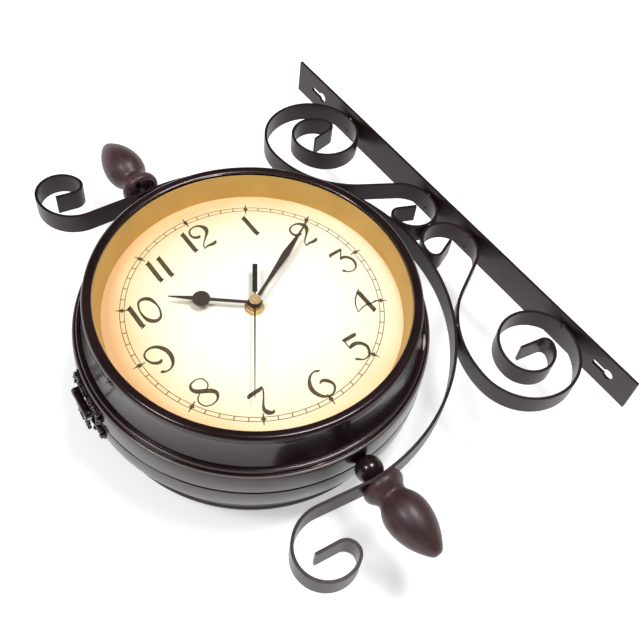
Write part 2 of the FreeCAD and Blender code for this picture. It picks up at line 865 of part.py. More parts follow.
def make_case(side):
    """A spun steel half: belt, flange, bead, cove and a rim that turns in over the glass."""
    edge = size.seam_gap / 2
    body = turned(f"{side}_case", [
        (case_radius - size.seam_edge, edge),
        (case_radius, edge + size.seam_edge),
        (case_radius, size.belt_width),
        (flange_radius, plate_end),
        (flange_radius - size.flange_edge, size.flange_width),
        (bead_radius, size.flange_width),
        (bead_radius - size.bead_height, size.flange_width + size.bead_height),
        (cove_foot_radius, size.cove_foot),
        (rim_radius, size.case_half_depth - size.rim_edge),
        (rim_radius - size.rim_edge, size.case_half_depth),
        (size.opening_radius, size.case_half_depth),
        (size.opening_radius, glass_front),
        (rim_radius - size.case_wall, glass_front),
        (cove_foot_radius - size.case_wall, size.cove_foot),
        (bead_radius - size.bead_height - size.case_wall, shoulder),
        (flange_radius - size.case_wall, shoulder),
        (case_inside, size.belt_width),
        (case_inside, edge)])
    studs = new_sketch(body, "studs", "XZ_Plane", shoulder)
    for x, z in stud_places():
        draw_circle(studs, x, z, size.stud_diameter / 2)
    pad(body, studs, size.stud_length, reverse=True)
    if side == "front":
        holes = new_sketch(body, "clamp_bolt_holes", "XY_Plane")
        draw_circle(holes, 0, -size.seam_offset, bolt_hole)
        cut_through(body, holes)
    place_in_case(body, side)


def make_glass(side):
    radius = rim_radius - size.case_wall - size.glass_clearance
    place_in_case(turned(f"{side}_glass", [
        (0, glass_back), (radius, glass_back), (radius, glass_front), (0, glass_front)]), side)


def make_reveal(side):
    """The tapered ring between the dial and the glass."""
    wall = size.reveal_wall
    place_in_case(turned(f"{side}_reveal", [
        (reveal_foot, dial_face), (reveal_foot + wall, dial_face),
        (reveal_top + wall, glass_back), (reveal_top, glass_back)]), side)


def make_dial(side):
    hole = size.bush_radius + size.bush_clearance
    place_in_case(tube(f"{side}_dial", hole, dial_radius, dial_back, dial_face), side)


def make_pan(side):
    """The pressed pan behind the dial, with a flange that bolts against the case's shoulder."""
    hole = size.bush_radius + size.bush_clearance
    flange = flange_radius - size.case_wall - size.pan_clearance
    wall = size.pan_wall
    body = turned(f"{side}_pan", [
        (hole, dial_back - wall), (pan_radius - wall, dial_back - wall),
        (pan_radius - wall, shoulder - wall), (flange, shoulder - wall),
        (flange, shoulder), (pan_radius, shoulder),
        (pan_radius, dial_back), (hole, dial_back)])
    holes = new_sketch(body, "stud_holes", "XZ_Plane", shoulder)
    for x, z in stud_places():
        draw_circle(holes, x, z, size.stud_diameter / 2 + size.stud_clearance)
    cut_through(body, holes)
    place_in_case(body, side)


def make_pan_nuts(side):
    body = new_body(f"{side}_pan_nuts")
    sketch = new_sketch(body, "nuts", "XZ_Plane", shoulder - size.pan_wall)
    for x, z in stud_places():
        draw_even_sides(sketch, x, z, size.stud_nut_across / math.sqrt(3), 6)
        draw_circle(sketch, x, z, size.stud_diameter / 2 + size.thread_clearance)
    pad(body, sketch, size.stud_nut_height, reverse=True)
    place_in_case(body, side)


def make_movement(side):
    """The battery movement's housing: a seat for the bush, a bay for the cell, a hole for the knob."""
    body = new_body(f"{side}_movement")
    half = size.movement_width / 2
    block = new_sketch(body, "block", "XZ_Plane", movement_front)
    draw_rounded_box(block, half, half, size.movement_corner)
    pad(body, block, size.movement_thick, reverse=True)
    seat = new_sketch(body, "bush_seat", "XZ_Plane", movement_front)
    draw_circle(seat, 0, 0, size.bush_radius + size.thread_clearance)
    cut_down(body, seat, size.bush_seat)
    bore = new_sketch(body, "arbor_bore", "XZ_Plane", movement_front)
    draw_circle(bore, 0, 0, size.hour_tube_radius + size.hand_gap)
    cut_down(body, bore, size.arbor_seat + size.arbor_rise)
    bay = new_sketch(body, "cell_bay", "XZ_Plane", movement_back)
    draw_box(bay, -size.bay_length / 2, size.bay_length / 2,
             bay_z - size.bay_height / 2, bay_z + size.bay_height / 2)
    cut_down(body, bay, size.bay_depth, along_normal=True)
    hole = new_sketch(body, "knob_hole", "XZ_Plane", movement_back)
    draw_circle(hole, size.knob_offset_x, size.knob_offset_z,
                size.knob_stem_radius + size.running_clearance)
    cut_down(body, hole, size.knob_stem_length, along_normal=True)
    place_in_case(body, side)


def make_movement_cover(side):
    """The lid over the movement's wheels, above the cell bay."""
    body = new_body(f"{side}_movement_cover")
    sketch = new_sketch(body, "lid", "XZ_Plane", movement_back)
    draw_box(sketch, -size.cover_width / 2, size.cover_width / 2,
             bay_z + size.bay_height / 2 + size.cover_gap, size.movement_width / 2 - size.bay_edge)
    pad(body, sketch, size.cover_thick, reverse=True)
    hole = new_sketch(body, "knob_hole", "XZ_Plane", movement_back)
    draw_circle(hole, size.knob_offset_x, size.knob_offset_z,
                size.knob_stem_radius + size.running_clearance)
    cut_through(body, hole)
    place_in_case(body, side)


def make_battery(side):
    """A cell with its nub to the right, lying in the movement's bay."""
    body = new_body(f"{side}_battery")
    middle = movement_back + size.bay_depth - size.cell_seat - size.cell_diameter / 2
    can = new_sketch(body, "can", "YZ_Plane", -size.cell_nub_length / 2)
    draw_circle(can, -middle, bay_z, size.cell_diameter / 2)
    pad(body, can, size.cell_length, middle=True)
    nub = new_sketch(body, "nub", "YZ_Plane", (size.cell_length - size.cell_nub_length) / 2)
    draw_circle(nub, -middle, bay_z, size.cell_nub_radius)
    pad(body, nub, size.cell_nub_length)
    place_in_case(body, side)


def make_setting_knob(side):
    """A ribbed thumb wheel on a short stem, which sets the hands from behind."""
    body = new_body(f"{side}_setting_knob")
    wheel = new_sketch(body, "wheel", "XZ_Plane", cover_back - size.knob_gap)
    draw_even_sides(wheel, size.knob_offset_x, size.knob_offset_z, size.knob_radius, KNOB_SIDES)
    pad(body, wheel, size.knob_thick, reverse=True)
    stem = new_sketch(body, "stem", "XZ_Plane", cover_back - size.knob_gap)
    draw_circle(stem, size.knob_offset_x, size.knob_offset_z, size.knob_stem_radius)
    pad(body, stem, size.knob_stem_length + size.cover_thick)
    place_in_case(body, side)


def make_stem_stack(side):
    """The threaded bush that carries the arbors, and the washer and nut that hold the dial to it."""
    bore = size.hour_tube_radius + size.running_clearance
    bush_foot = movement_front - size.bush_seat
    place_in_case(tube(f"{side}_stem_bush", bore, size.bush_radius, bush_foot, bush_top), side)
    washer_top = dial_face + size.washer_thick
    thread = size.bush_radius + size.thread_clearance
    place_in_case(tube(f"{side}_stem_washer", thread, size.washer_radius, dial_face, washer_top), side)
    nut = new_body(f"{side}_stem_nut")
    sketch = new_sketch(nut, "hexagon", "XZ_Plane", washer_top)
    draw_even_sides(sketch, 0, 0, size.dial_nut_across / math.sqrt(3), 6)
    draw_circle(sketch, 0, 0, thread)
    pad(nut, sketch, size.dial_nut_height)
    place_in_case(nut, side)


def make_arbors(side):
    """The hour tube runs on the minute arbor, and the minute arbor runs on the second pipe."""
    clearance = size.running_clearance
    hour_bore = size.minute_arbor_radius + clearance
    hour_top = hour_plane + size.hand_thick + size.arbor_rise
    hour_tube = tube(f"{side}_hour_tube", hour_bore, size.hour_tube_radius, arbor_end, hour_top)
    minute_bore = size.second_pipe_radius + clearance
    minute_top = minute_plane + size.hand_thick + size.arbor_rise
    minute_arbor = tube(f"{side}_minute_arbor", minute_bore, size.minute_arbor_radius,
                        arbor_end, minute_top)
    second_pipe = turned(f"{side}_second_pipe", [
        (0, arbor_end), (size.second_pipe_radius, arbor_end), (size.second_pipe_radius, cap_plane),
        (size.cap_radius, cap_plane), (size.cap_radius, cap_plane + size.cap_thick - size.cap_edge),
        (size.cap_radius - size.cap_edge, cap_plane + size.cap_thick),
        (0, cap_plane + size.cap_thick)])
    for piece in (hour_tube, minute_arbor, second_pipe):
        place_in_case(piece, side)


def make_hand(label, side, angle, plane, outline, hub_radius, shaft_radius):
    """A flat hand drawn pointing at twelve, with a round hub pressed on its shaft."""
    body = new_body(label)
    blade = new_sketch(body, "blade", "XZ_Plane", plane)
    draw_outline(blade, outline)
    pad(body, blade, size.hand_thick)
    hub = new_sketch(body, "hub", "XZ_Plane", plane)
    draw_circle(hub, 0, 0, hub_radius)
    pad(body, hub, size.hand_thick)
    hole = new_sketch(body, "hole", "XZ_Plane", plane)
    draw_circle(hole, 0, 0, shaft_radius + size.thread_clearance)
    cut_through(body, hole)
    place_in_case(body, side, angle)


def both_edges(right_edge):
    """An outline from its right edge, going up, and the same edge on the left, coming down."""
    left_edge = []
    bow = 0
    for x, y, *bows in reversed(right_edge):
        left_edge.append((-as_size(x), y, bow))
        bow = bows[0] if bows else 0
    return right_edge + left_edge


def make_hands(side):
    tip = size.hand_tip_width / 2
    hour_stem = size.hour_stem_width / 2
    make_hand(f"{side}_hour_hand", side, size.hour_angle, hour_plane, both_edges([
        (hour_stem, 0), (hour_stem, size.hour_blob_start),
        (size.hour_blob_neck / 2, size.hour_blob_end, BLOB_BOW),
        (tip, size.hour_length)]), size.hour_hub_radius, size.hour_tube_radius)
    minute_stem = size.minute_stem_width / 2
    make_hand(f"{side}_minute_hand", side, size.minute_angle, minute_plane, both_edges([
        (minute_stem, 0), (minute_stem, size.minute_belly_start),
        (size.minute_belly_width / 2, size.minute_belly_reach),
        (size.minute_neck_width / 2, size.minute_neck_reach),
        (tip, size.minute_length)]), size.minute_hub_radius, size.minute_arbor_radius)
    blade = size.second_width / 2
    tail = size.second_tail_width / 2
    make_hand(f"{side}_second_hand", side, size.second_angle, second_plane, both_edges([
        (tail, -size.second_tail_end), (tail, -size.second_tail_start),
        (blade, -size.second_tail_start), (tip, size.second_length)]),
        size.second_hub_radius, size.second_pipe_radius)


def make_half_clock(side):
    make_case(side)
    make_glass(side)
    make_reveal(side)
    make_dial(side)
    make_pan(side)
    make_pan_nuts(side)
    make_movement(side)
    make_movement_cover(side)
    make_battery(side)
    make_setting_knob(side)
    make_stem_stack(side)
    make_arbors(side)
    make_hands(side)


# ---------------------------------------------------------------- hinge and hasp

def bent_plate(label, x_side, y_side, near, far, skin_far, height):
    """A plate bent round the case, from near to far out from the seam.

    The case's skin is straight over its belt, and past the belt it leans in to skin_far.
    """
    body = new_body(label)
    sketch = new_sketch(body, "section", "XY_Plane")
    skin = [(case_radius, near), (case_radius, size.belt_width)]
    if far is not size.belt_width:
        skin.append((skin_far, far))
    thick = size.plate_skin
    section = skin + [(radius + thick, depth) for radius, depth in reversed(skin)]
    draw_outline(sketch, [(x_side * radius, y_side * depth) for radius, depth in section])
    revolve(body, sketch, height / case_radius * (180 / math.pi))
    return body


def make_hinge():
    """A butt hinge on the wall side: two leaves on the belt, three knuckles and a headed pin."""
    pitch = size.knuckle_height + size.knuckle_gap
    root_x = case_radius + size.seat_clearance
    for name, y_side, levels in (("front", -1, (-1, 1)), ("back", 1, (0,))):
        body = bent_plate(f"hinge_{name}_leaf", 1, y_side, size.leaf_start, size.belt_width,
                          case_radius, size.leaf_height)
        for level in levels:
            low = level * pitch - size.knuckle_height / 2
            knuckle = new_sketch(body, f"barrel_{level + 1}", "XY_Plane", low)
            draw_circle(knuckle, hinge_x, 0, size.barrel_radius)
            pad(body, knuckle, size.knuckle_height)
            web = new_sketch(body, f"web_{level + 1}", "XY_Plane", low)
            draw_box(web, root_x, root_x + size.plate_skin, 0, y_side * size.belt_width)
            pad(body, web, size.knuckle_height)
        bore = new_sketch(body, "pin_bore", "XY_Plane")
        draw_circle(bore, hinge_x, 0, size.hinge_pin_radius + size.running_clearance)
        cut_through(body, bore)
        place_at_seam(body)
    half = pitch + size.knuckle_height / 2 + size.knuckle_gap / 2
    make_pin("hinge_pin", hinge_x, 0, half, size.hinge_pin_radius, size.pin_head_radius,
             size.pin_head_height)


def make_pin(label, x, y, half, radius, head_radius, head_height, clock_angle=0):
    """A pin with a head at each end: upright, or turned about the clock axis with its hinge."""
    body = turned_upright(label, [
        (0, -half - head_height), (head_radius, -half - head_height), (head_radius, -half),
        (radius, -half), (radius, half), (head_radius, half),
        (head_radius, half + head_height), (0, half + head_height)])
    degrees = as_size(clock_angle).number
    angle = math.radians(degrees)
    place(body, axis_x + x * math.cos(angle), size.seam_offset + y, axis_z - x * math.sin(angle),
          Rotation(Vector(0, 1, 0), degrees))


def make_hasp_plate():
    """The plate on the front half that carries the hasp between two ears."""
    body = bent_plate("hasp_plate", -1, -1, size.leaf_start, plate_end, flange_radius,
                      size.hasp_plate_height)
    pin_y = -size.hasp_pin_offset
    barrel = size.hasp_barrel_radius
    root_x = -(case_radius + size.plate_skin / 2)
    ear_low = size.hasp_height / 2 + size.knuckle_gap
    for name, low in (("upper", ear_low), ("lower", -(ear_low + size.hasp_ear_height))):
        ear = new_sketch(body, name + "_ear", "XY_Plane", low)
        draw_outline(ear, [(root_x, pin_y + barrel), (hasp_x, pin_y + barrel),
                           (hasp_x, pin_y - barrel, HALF_ROUND), (root_x, pin_y - barrel)])
        pad(body, ear, size.hasp_ear_height)
    bore = new_sketch(body, "pin_bore", "XY_Plane")
    draw_circle(bore, hasp_x, pin_y, size.hasp_pin_radius + size.thread_clearance)
    cut_through(body, bore)
    place_at_seam(body, size.latch_angle)
    half = ear_low + size.hasp_ear_height + size.knuckle_gap / 2
    make_pin("latch_pin", hasp_x, pin_y, half, size.hasp_pin_radius, size.hasp_pin_head_radius,
             size.hasp_pin_head_height, size.latch_angle)


def make_hasp():
    """The pierced hasp: lobed edges, three round holes and a fork that slides over the catch stud."""
    body = new_body("hasp")
    pin_y = -size.hasp_pin_offset
    half_height = size.hasp_height / 2
    end_y = pin_y + size.hasp_reach
    fork = size.catch_stud_radius + size.fork_clearance
    lobe_y = pin_y + size.hasp_barrel_radius + size.knuckle_gap
    waist_y = (lobe_y + end_y) / 2
    plate = new_sketch(body, "plate", "YZ_Plane", hasp_x)
    shoulder_z = half_height - size.hasp_hole_radius
    draw_outline(plate, [
        (pin_y, -shoulder_z), (lobe_y, -shoulder_z),
        (waist_y, -shoulder_z, LOBE_BOW), (end_y, -shoulder_z, LOBE_BOW),
        (end_y, -fork), (size.catch_stud_place, -fork),
        (size.catch_stud_place, fork, -HALF_ROUND), (end_y, fork),
        (end_y, shoulder_z), (waist_y, shoulder_z, LOBE_BOW), (lobe_y, shoulder_z, LOBE_BOW),
        (pin_y, shoulder_z)])
    pad(body, plate, size.hasp_thick, middle=True)
    barrel = new_sketch(body, "barrel", "XY_Plane")
    draw_circle(barrel, hasp_x, pin_y, size.hasp_barrel_radius)
    pad(body, barrel, size.hasp_height, middle=True)
    holes = new_sketch(body, "holes", "YZ_Plane")
    hole_y = pin_y + size.hasp_barrel_radius + size.hasp_hole_radius * 2
    for spread in (-1, 0, 1):
        draw_circle(holes, hole_y, spread * size.hasp_hole_pitch, size.hasp_hole_radius)
    cut_through(body, holes)
    bore = new_sketch(body, "pin_bore", "XY_Plane")
    draw_circle(bore, hasp_x, pin_y, size.hasp_pin_radius + size.running_clearance)
    cut_through(body, bore)
    place_at_seam(body, size.latch_angle)


def make_catch():
    """The catch plate on the back half, and the domed stud riveted through it."""
    body = bent_plate("catch_plate", -1, 1, size.leaf_start, plate_end, flange_radius,
                      size.catch_plate_height)
    hole = new_sketch(body, "rivet_hole", "YZ_Plane")
    draw_circle(hole, size.catch_stud_place, 0, size.catch_rivet_radius + size.thread_clearance)
    cut_through(body, hole)
    place_at_seam(body, size.latch_angle)
    stud = new_body("catch_stud")
    tail = new_sketch(stud, "tail", "YZ_Plane", -skin_outer - size.seat_clearance)
    draw_circle(tail, size.catch_stud_place, 0, size.catch_rivet_radius)
    pad(stud, tail, size.plate_skin)
    head = new_sketch(stud, "head", "YZ_Plane", -skin_outer - size.seat_clearance)
    draw_circle(head, size.catch_stud_place, 0, size.catch_stud_radius)
    pad(stud, head, size.catch_stud_rise - size.plate_skin, reverse=True)
    place_at_seam(stud, size.latch_angle)


# ---------------------------------------------------------------- the whole object

def make_clock():
    make_wall_plate()
    hoop = make_hoop()
    fit = ScrollFit()
    scrolls = make_scrolls(fit)
    document.recompute()
    make_weld_beads(fit, [document.getObject("wall_plate"), hoop, *scrolls])
    for name, turn, rise, lift in (("top", Rotation(), size.bracket_rise, size.top_finial_lift),
                                   ("bottom", UPSIDE_DOWN, -size.bracket_rise, 0)):
        make_ball_spacer(f"{name}_ball_spacer", turn, rise)
        make_clamp_bolt(f"{name}_bolt", turn, rise, lift)
        make_finial(f"{name}_finial", turn, lift)
    make_clamp_nuts()
    for side in ("front", "back"):
        make_half_clock(side)
    make_hinge()
    make_hasp_plate()
    make_hasp()
    make_catch()
    document.recompute()


def pieces():
    return [thing for thing in document.Objects
            if thing.TypeId == "PartDesign::Body" or thing.Label == "weld_beads"]


def check_everything():
    for thing in document.Objects:
        if "Invalid" in thing.State or "Error" in thing.State:
            raise RuntimeError(f"{thing.Label} failed: {thing.State}")
    for piece in pieces():
        if piece.Shape.isNull() or not piece.Shape.isValid():
            raise RuntimeError(f"{piece.Label} has no valid shape")


def write_parts():
    os.makedirs("parts", exist_ok=True)
    for piece in pieces():
        piece.Shape.exportStep(f"parts/{piece.Label}.step")


make_clock()
check_everything()
write_parts()
print(f"{len(pieces())} pieces written")
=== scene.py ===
import json
import math
import random

import bmesh
import bpy
from mathutils import Matrix, Vector, noise


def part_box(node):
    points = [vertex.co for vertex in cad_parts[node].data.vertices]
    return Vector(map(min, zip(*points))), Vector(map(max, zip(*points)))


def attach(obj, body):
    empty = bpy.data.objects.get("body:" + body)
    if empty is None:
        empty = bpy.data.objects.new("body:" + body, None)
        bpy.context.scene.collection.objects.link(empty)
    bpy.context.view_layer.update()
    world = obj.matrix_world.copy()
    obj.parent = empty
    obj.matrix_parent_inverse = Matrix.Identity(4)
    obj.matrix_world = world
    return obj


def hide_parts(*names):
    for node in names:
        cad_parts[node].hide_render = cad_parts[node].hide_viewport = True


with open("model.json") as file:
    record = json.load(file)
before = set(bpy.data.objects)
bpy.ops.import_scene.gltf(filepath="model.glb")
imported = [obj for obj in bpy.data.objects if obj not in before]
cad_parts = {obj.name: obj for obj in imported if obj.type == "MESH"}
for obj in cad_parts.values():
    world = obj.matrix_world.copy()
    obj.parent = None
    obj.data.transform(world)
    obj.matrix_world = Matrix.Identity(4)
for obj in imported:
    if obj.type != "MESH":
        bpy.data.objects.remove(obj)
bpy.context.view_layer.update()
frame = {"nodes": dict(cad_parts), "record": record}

# Double sided station clock on a scrolled bracket, laid on a white table.
# All lengths in metres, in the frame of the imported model: X into the wall, Z up, front dial towards -Y.

nodes = frame["nodes"]
MM = 0.001
SIDES = ("front", "back")


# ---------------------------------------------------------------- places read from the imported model

case_low, case_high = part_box("front_case")
seam_y = (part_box("front_case")[1].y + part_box("back_case")[0].y) / 2
CENTRE = Vector(((case_low.x + case_high.x) / 2, seam_y, (case_low.z + case_high.z) / 2))
DIAL_FACE = seam_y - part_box("front_dial")[0].y


def half_matrix(side):
    """Local frame of one half: origin on the clock axis at the seam, +X right, -Y out of the dial."""
    turn = math.pi if side == "back" else 0
    return Matrix.Translation(CENTRE) @ Matrix.Rotation(turn, 4, "Z")


def body_of(side):
    return "bracket" if side == "front" else "back_half"


# ---------------------------------------------------------------- mesh tools

def finish_piece(sheet, name, material, body, smooth=True):
    """Turn a bmesh into a piece that rides on a body and wears the given material."""
    bmesh.ops.remove_doubles(sheet, verts=sheet.verts, dist=1e-6)
    bmesh.ops.recalc_face_normals(sheet, faces=sheet.faces)
    for face in sheet.faces:
        face.smooth = smooth
    mesh = bpy.data.meshes.new(name)
    sheet.to_mesh(mesh)
    sheet.free()
    mesh.materials.append(material)
    thing = bpy.data.objects.new(name, mesh)
    bpy.context.scene.collection.objects.link(thing)
    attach(thing, body)
    return thing


def smooth_profile(corners, steps):
    """A smooth line through the corners."""
    line = []
    for i in range(len(corners) - 1):
        before = Vector(corners[max(i - 1, 0)])
        start = Vector(corners[i])
        end = Vector(corners[i + 1])
        after = Vector(corners[min(i + 2, len(corners) - 1)])
        for k in range(steps):
            t = k / steps
            line.append(0.5 * (2 * start + (end - before) * t
                               + (2 * before - 5 * start + 4 * end - after) * t**2
                               + (3 * start - before - 3 * end + after) * t**3))
    line.append(Vector(corners[-1]))
    return line


def eased_profile(corners, steps=4):
    """Straight runs between corners (x, y, reach), each corner rounded over its reach to both sides."""
    line = []
    for i, (x, y, reach) in enumerate(corners):
        spot = Vector((x, y))
        if not reach:
            line.append(spot)
            continue
        start = spot + (Vector(corners[i - 1][:2]) - spot).normalized() * reach
        end = spot + (Vector(corners[(i + 1) % len(corners)][:2]) - spot).normalized() * reach
        for k in range(steps + 1):
            t = k / steps
            line.append(start * (1 - t) ** 2 + spot * (2 * t * (1 - t)) + end * t**2)
    return line


def lathe(sheet, profile, matrix, segments, closed=False):
    """Turn a profile of (radius, height) in millimetres about the local Z axis of the matrix."""
    rings = []
    for k in range(segments):
        angle = 2 * math.pi * k / segments
        rings.append([sheet.verts.new(matrix @ Vector((radius * MM * math.cos(angle),
                                                       radius * MM * math.sin(angle), height * MM)))
                      for radius, height in profile])
    for k in range(segments):
        here, there = rings[k], rings[(k + 1) % segments]
        for i in range(len(profile) if closed else len(profile) - 1):
            j = (i + 1) % len(profile)
            flat = {spot for spot in (i, j) if abs(profile[spot][0]) < 1e-6}
            corners = [here[i], there[i], there[j], here[j]]
            if i in flat:
                corners.remove(there[i])
            if j in flat:
                corners.remove(there[j])
            if len(corners) > 2:
                sheet.faces.new(corners)


def tube(sheet, line, radius, sides=10):
    """A round bar along a line of points in metres, with a point at each end."""
    rings = []
    for i, spot in enumerate(line):
        ahead = (line[min(i + 1, len(line) - 1)] - line[max(i - 1, 0)]).normalized()
        side = ahead.cross(Vector((0.3, 0.5, 0.81))).normalized()
        lift = ahead.cross(side)
        rings.append([sheet.verts.new(spot + (side * math.cos(2 * math.pi * k / sides)
                                              + lift * math.sin(2 * math.pi * k / sides)) * radius)
                      for k in range(sides)])
    for here, there in zip(rings, rings[1:]):
        for k in range(sides):
            after = (k + 1) % sides
            sheet.faces.new((here[k], here[after], there[after], there[k]))
    for ring_end, outward in ((rings[0], line[0] - line[1]), (rings[-1], line[-1] - line[-2])):
        end = sum((vert.co for vert in ring_end), Vector()) / sides + outward.normalized() * radius * 0.6
        tip = sheet.verts.new(end)
        for k in range(sides):
            sheet.faces.new((ring_end[k], ring_end[(k + 1) % sides], tip))


def lump(sheet, spot, size, rough, seed):
    """A round blob with an uneven skin; size is its three half widths."""
    blob = bmesh.ops.create_icosphere(sheet, subdivisions=3, radius=1.0)["verts"]
    shift = Vector((seed * 1.7, seed * 0.9, seed * 2.3))
    for vert in blob:
        broad = noise.noise(vert.co * 1.9 + shift)
        fine = noise.noise(vert.co * 5 + shift)
        swell = 1 + rough * broad + rough * 0.4 * fine
        vert.co = Vector((vert.co.x * size[0], vert.co.y * size[1], vert.co.z * size[2])) * swell + spot


# ---------------------------------------------------------------- shader tools

class Shader:
    """A material being built: add() makes a node and links every input given as a socket."""

    def __init__(self, name):
        self.material = bpy.data.materials.new(name)
        self.material.use_nodes = True
        self.tree = self.material.node_tree
        self.tree.nodes.clear()

    def add(self, kind, inputs=None, **settings):
        node = self.tree.nodes.new(kind)
        for key, value in settings.items():
            setattr(node, key, value)
        for key, value in (inputs or {}).items():
            if isinstance(value, bpy.types.NodeSocket):
                self.tree.links.new(value, node.inputs[key])
            else:
                node.inputs[key].default_value = value
        return node

    def place(self):
        return self.add("ShaderNodeTexCoord").outputs["Object"]

    def stretched(self, scale):
        return self.add("ShaderNodeMapping", {"Vector": self.place(), "Scale": scale}).outputs["Vector"]

    def noise(self, vector, scale, detail=4.0, roughness=0.5):
        node = self.add("ShaderNodeTexNoise", {"Vector": vector, "Scale": scale, "Detail": detail,
                                               "Roughness": roughness})
        return node.outputs["Fac"]

    def ramp(self, value, stops):
        node = self.add("ShaderNodeValToRGB", {"Fac": value})
        node.color_ramp.elements[0].position, node.color_ramp.elements[0].color = stops[0]
        node.color_ramp.elements[1].position, node.color_ramp.elements[1].color = stops[-1]
        for position, tint in stops[1:-1]:
            node.color_ramp.elements.new(position).color = tint
        return node.outputs["Color"]

    def calculate(self, operation, *values, clamp=False):
        """One sum with plain numbers."""
        node = self.add("ShaderNodeMath", dict(enumerate(values)), operation=operation, use_clamp=clamp)
        return node.outputs[0]

    def calculate_vector(self, operation, *values, output="Vector"):
        """One sum with vectors."""
        node = self.add("ShaderNodeVectorMath", dict(enumerate(values)), operation=operation)
        return node.outputs[output]

    def span(self, value, low, high):
        """Map a 0 to 1 value to a range."""
        node = self.add("ShaderNodeMapRange", {"Value": value, "To Min": low, "To Max": high})
        return node.outputs["Result"]

    def bump(self, height, strength, distance, normal=None):
        inputs = {"Height": height, "Strength": strength, "Distance": distance}
        if normal is not None:
            inputs["Normal"] = normal
        return self.add("ShaderNodeBump", inputs).outputs["Normal"]

    def round_edges(self, radius):
        return self.add("ShaderNodeBevel", {"Radius": radius}, samples=4).outputs["Normal"]

    def finish(self, **inputs):
        names = {key.replace("_", " "): value for key, value in inputs.items()}
        surface = self.add("ShaderNodeBsdfPrincipled", names)
        self.add("ShaderNodeOutputMaterial", {"Surface": surface.outputs["BSDF"]})
        return self.material


def colour(red, green, blue):
    """An sRGB colour as the shader's linear one."""
    def linear(value):
        value /= 255
        return value / 12.92 if value <= 0.04045 else ((value + 0.055) / 1.055) ** 2.4
    return (linear(red), linear(green), linear(blue), 1.0)


# ---------------------------------------------------------------- materials

BLACK = (0.0, 0.0, 0.0, 1.0)
WHITE = (1.0, 1.0, 1.0, 1.0)
# No painted highlight line is drawn on edges this near to the seam, in metres.
SEAM_ROOM = 0.006


def stove_enamel(name, edge_radius, gloss, shine, streaks=0.0, painted_edge_lines=False):
    """Brown-black enamel: cloudy gloss, faint orange peel, browner patches, and, when asked, pale painted
    highlight lines along sharp edges.
    """
    s = Shader(name)
    patches = s.noise(s.place(), 18.0, 5.0, 0.6)
    base = s.ramp(patches, [(0.35, colour(27, 16, 17)), (0.7, colour(42, 27, 27))])
    if painted_edge_lines:
        # Painted highlight: pale lines on the sharp edges stand in for the lamps' reflections in the rounded
        # rim, bead and flange, and are kept off the seam.
        edge = s.add("ShaderNodeNewGeometry").outputs["Pointiness"]
        painted_highlight = s.ramp(edge, [(0.528, BLACK), (0.575, WHITE)])
        depth = s.add("ShaderNodeSeparateXYZ", {"Vector": s.place()}).outputs["Y"]
        near_seam = s.calculate("COMPARE", depth, seam_y, SEAM_ROOM)
        painted_highlight = s.calculate("SUBTRACT", painted_highlight, near_seam, clamp=True)
        highlight_tint = colour(196, 182, 180)
        base = s.add("ShaderNodeMixRGB", {"Fac": painted_highlight, "Color1": base, "Color2": highlight_tint}).outputs[0]
    cloud = s.noise(s.place(), 60.0, 3.0)
    normal = s.round_edges(edge_radius)
    if streaks:
        drawn = s.noise(s.stretched((0.6, 16.0, 0.6)), 70.0, 3.0)
        normal = s.bump(drawn, streaks, 0.0006, normal)
    peel = s.noise(s.place(), 900.0, 2.0)
    normal = s.bump(peel, 0.03, 0.0003, normal)
    return s.finish(Base_Color=base, Roughness=s.span(cloud, gloss, gloss + 0.1), Normal=normal,
                    Specular_IOR_Level=0.32, Specular_Tint=(1.0, 0.87, 0.88, 1.0), Coat_Weight=shine,
                    Coat_Roughness=0.06)


def turned_wood(name):
    """Plum-brown stained wood with faint long grain, small pores and a satin lacquer."""
    s = Shader(name)
    grain = s.noise(s.stretched((1.0, 1.0, 0.1)), 330.0, 6.0, 0.65)
    figure = s.noise(s.stretched((1.0, 1.0, 0.3)), 60.0, 4.0, 0.55)
    mixed = s.calculate("MULTIPLY", grain, figure)
    base = s.ramp(mixed, [(0.1, colour(42, 23, 24)), (0.26, colour(66, 40, 41)), (0.42, colour(80, 52, 52))])
    pores = s.ramp(s.noise(s.stretched((1.0, 1.0, 0.35)), 1100.0, 2.0), [(0.3, BLACK), (0.42, WHITE)])
    normal = s.bump(pores, 0.12, 0.0003, s.bump(grain, 0.1, 0.0004))
    return s.finish(Base_Color=base, Roughness=s.span(figure, 0.42, 0.52), Normal=normal,
                    Specular_IOR_Level=0.5, Coat_Weight=0.14, Coat_Roughness=0.25)


def gold_reveal(name):
    """Antique gold ring behind the glass, faintly brushed round the dial."""
    s = Shader(name)
    cloud = s.noise(s.place(), 25.0, 4.0)
    base = s.ramp(cloud, [(0.3, colour(196, 156, 82)), (0.7, colour(214, 174, 98))])
    fine = s.noise(s.stretched((1.0, 6.0, 1.0)), 700.0, 3.0)
    return s.finish(Base_Color=base, Roughness=s.span(fine, 0.42, 0.6), Normal=s.bump(fine, 0.08, 0.0003),
                    Specular_IOR_Level=0.4)


# The dial's stain leans this way, as a share of the distance from the dial's middle.
STAIN_LEAN = (-0.1, 0.0, 0.04)
# The distance from the dial's middle, in metres, at which the stain is full, and how far blotches shift it.
STAIN_REACH = 0.1
STAIN_BLOTCH = 0.017


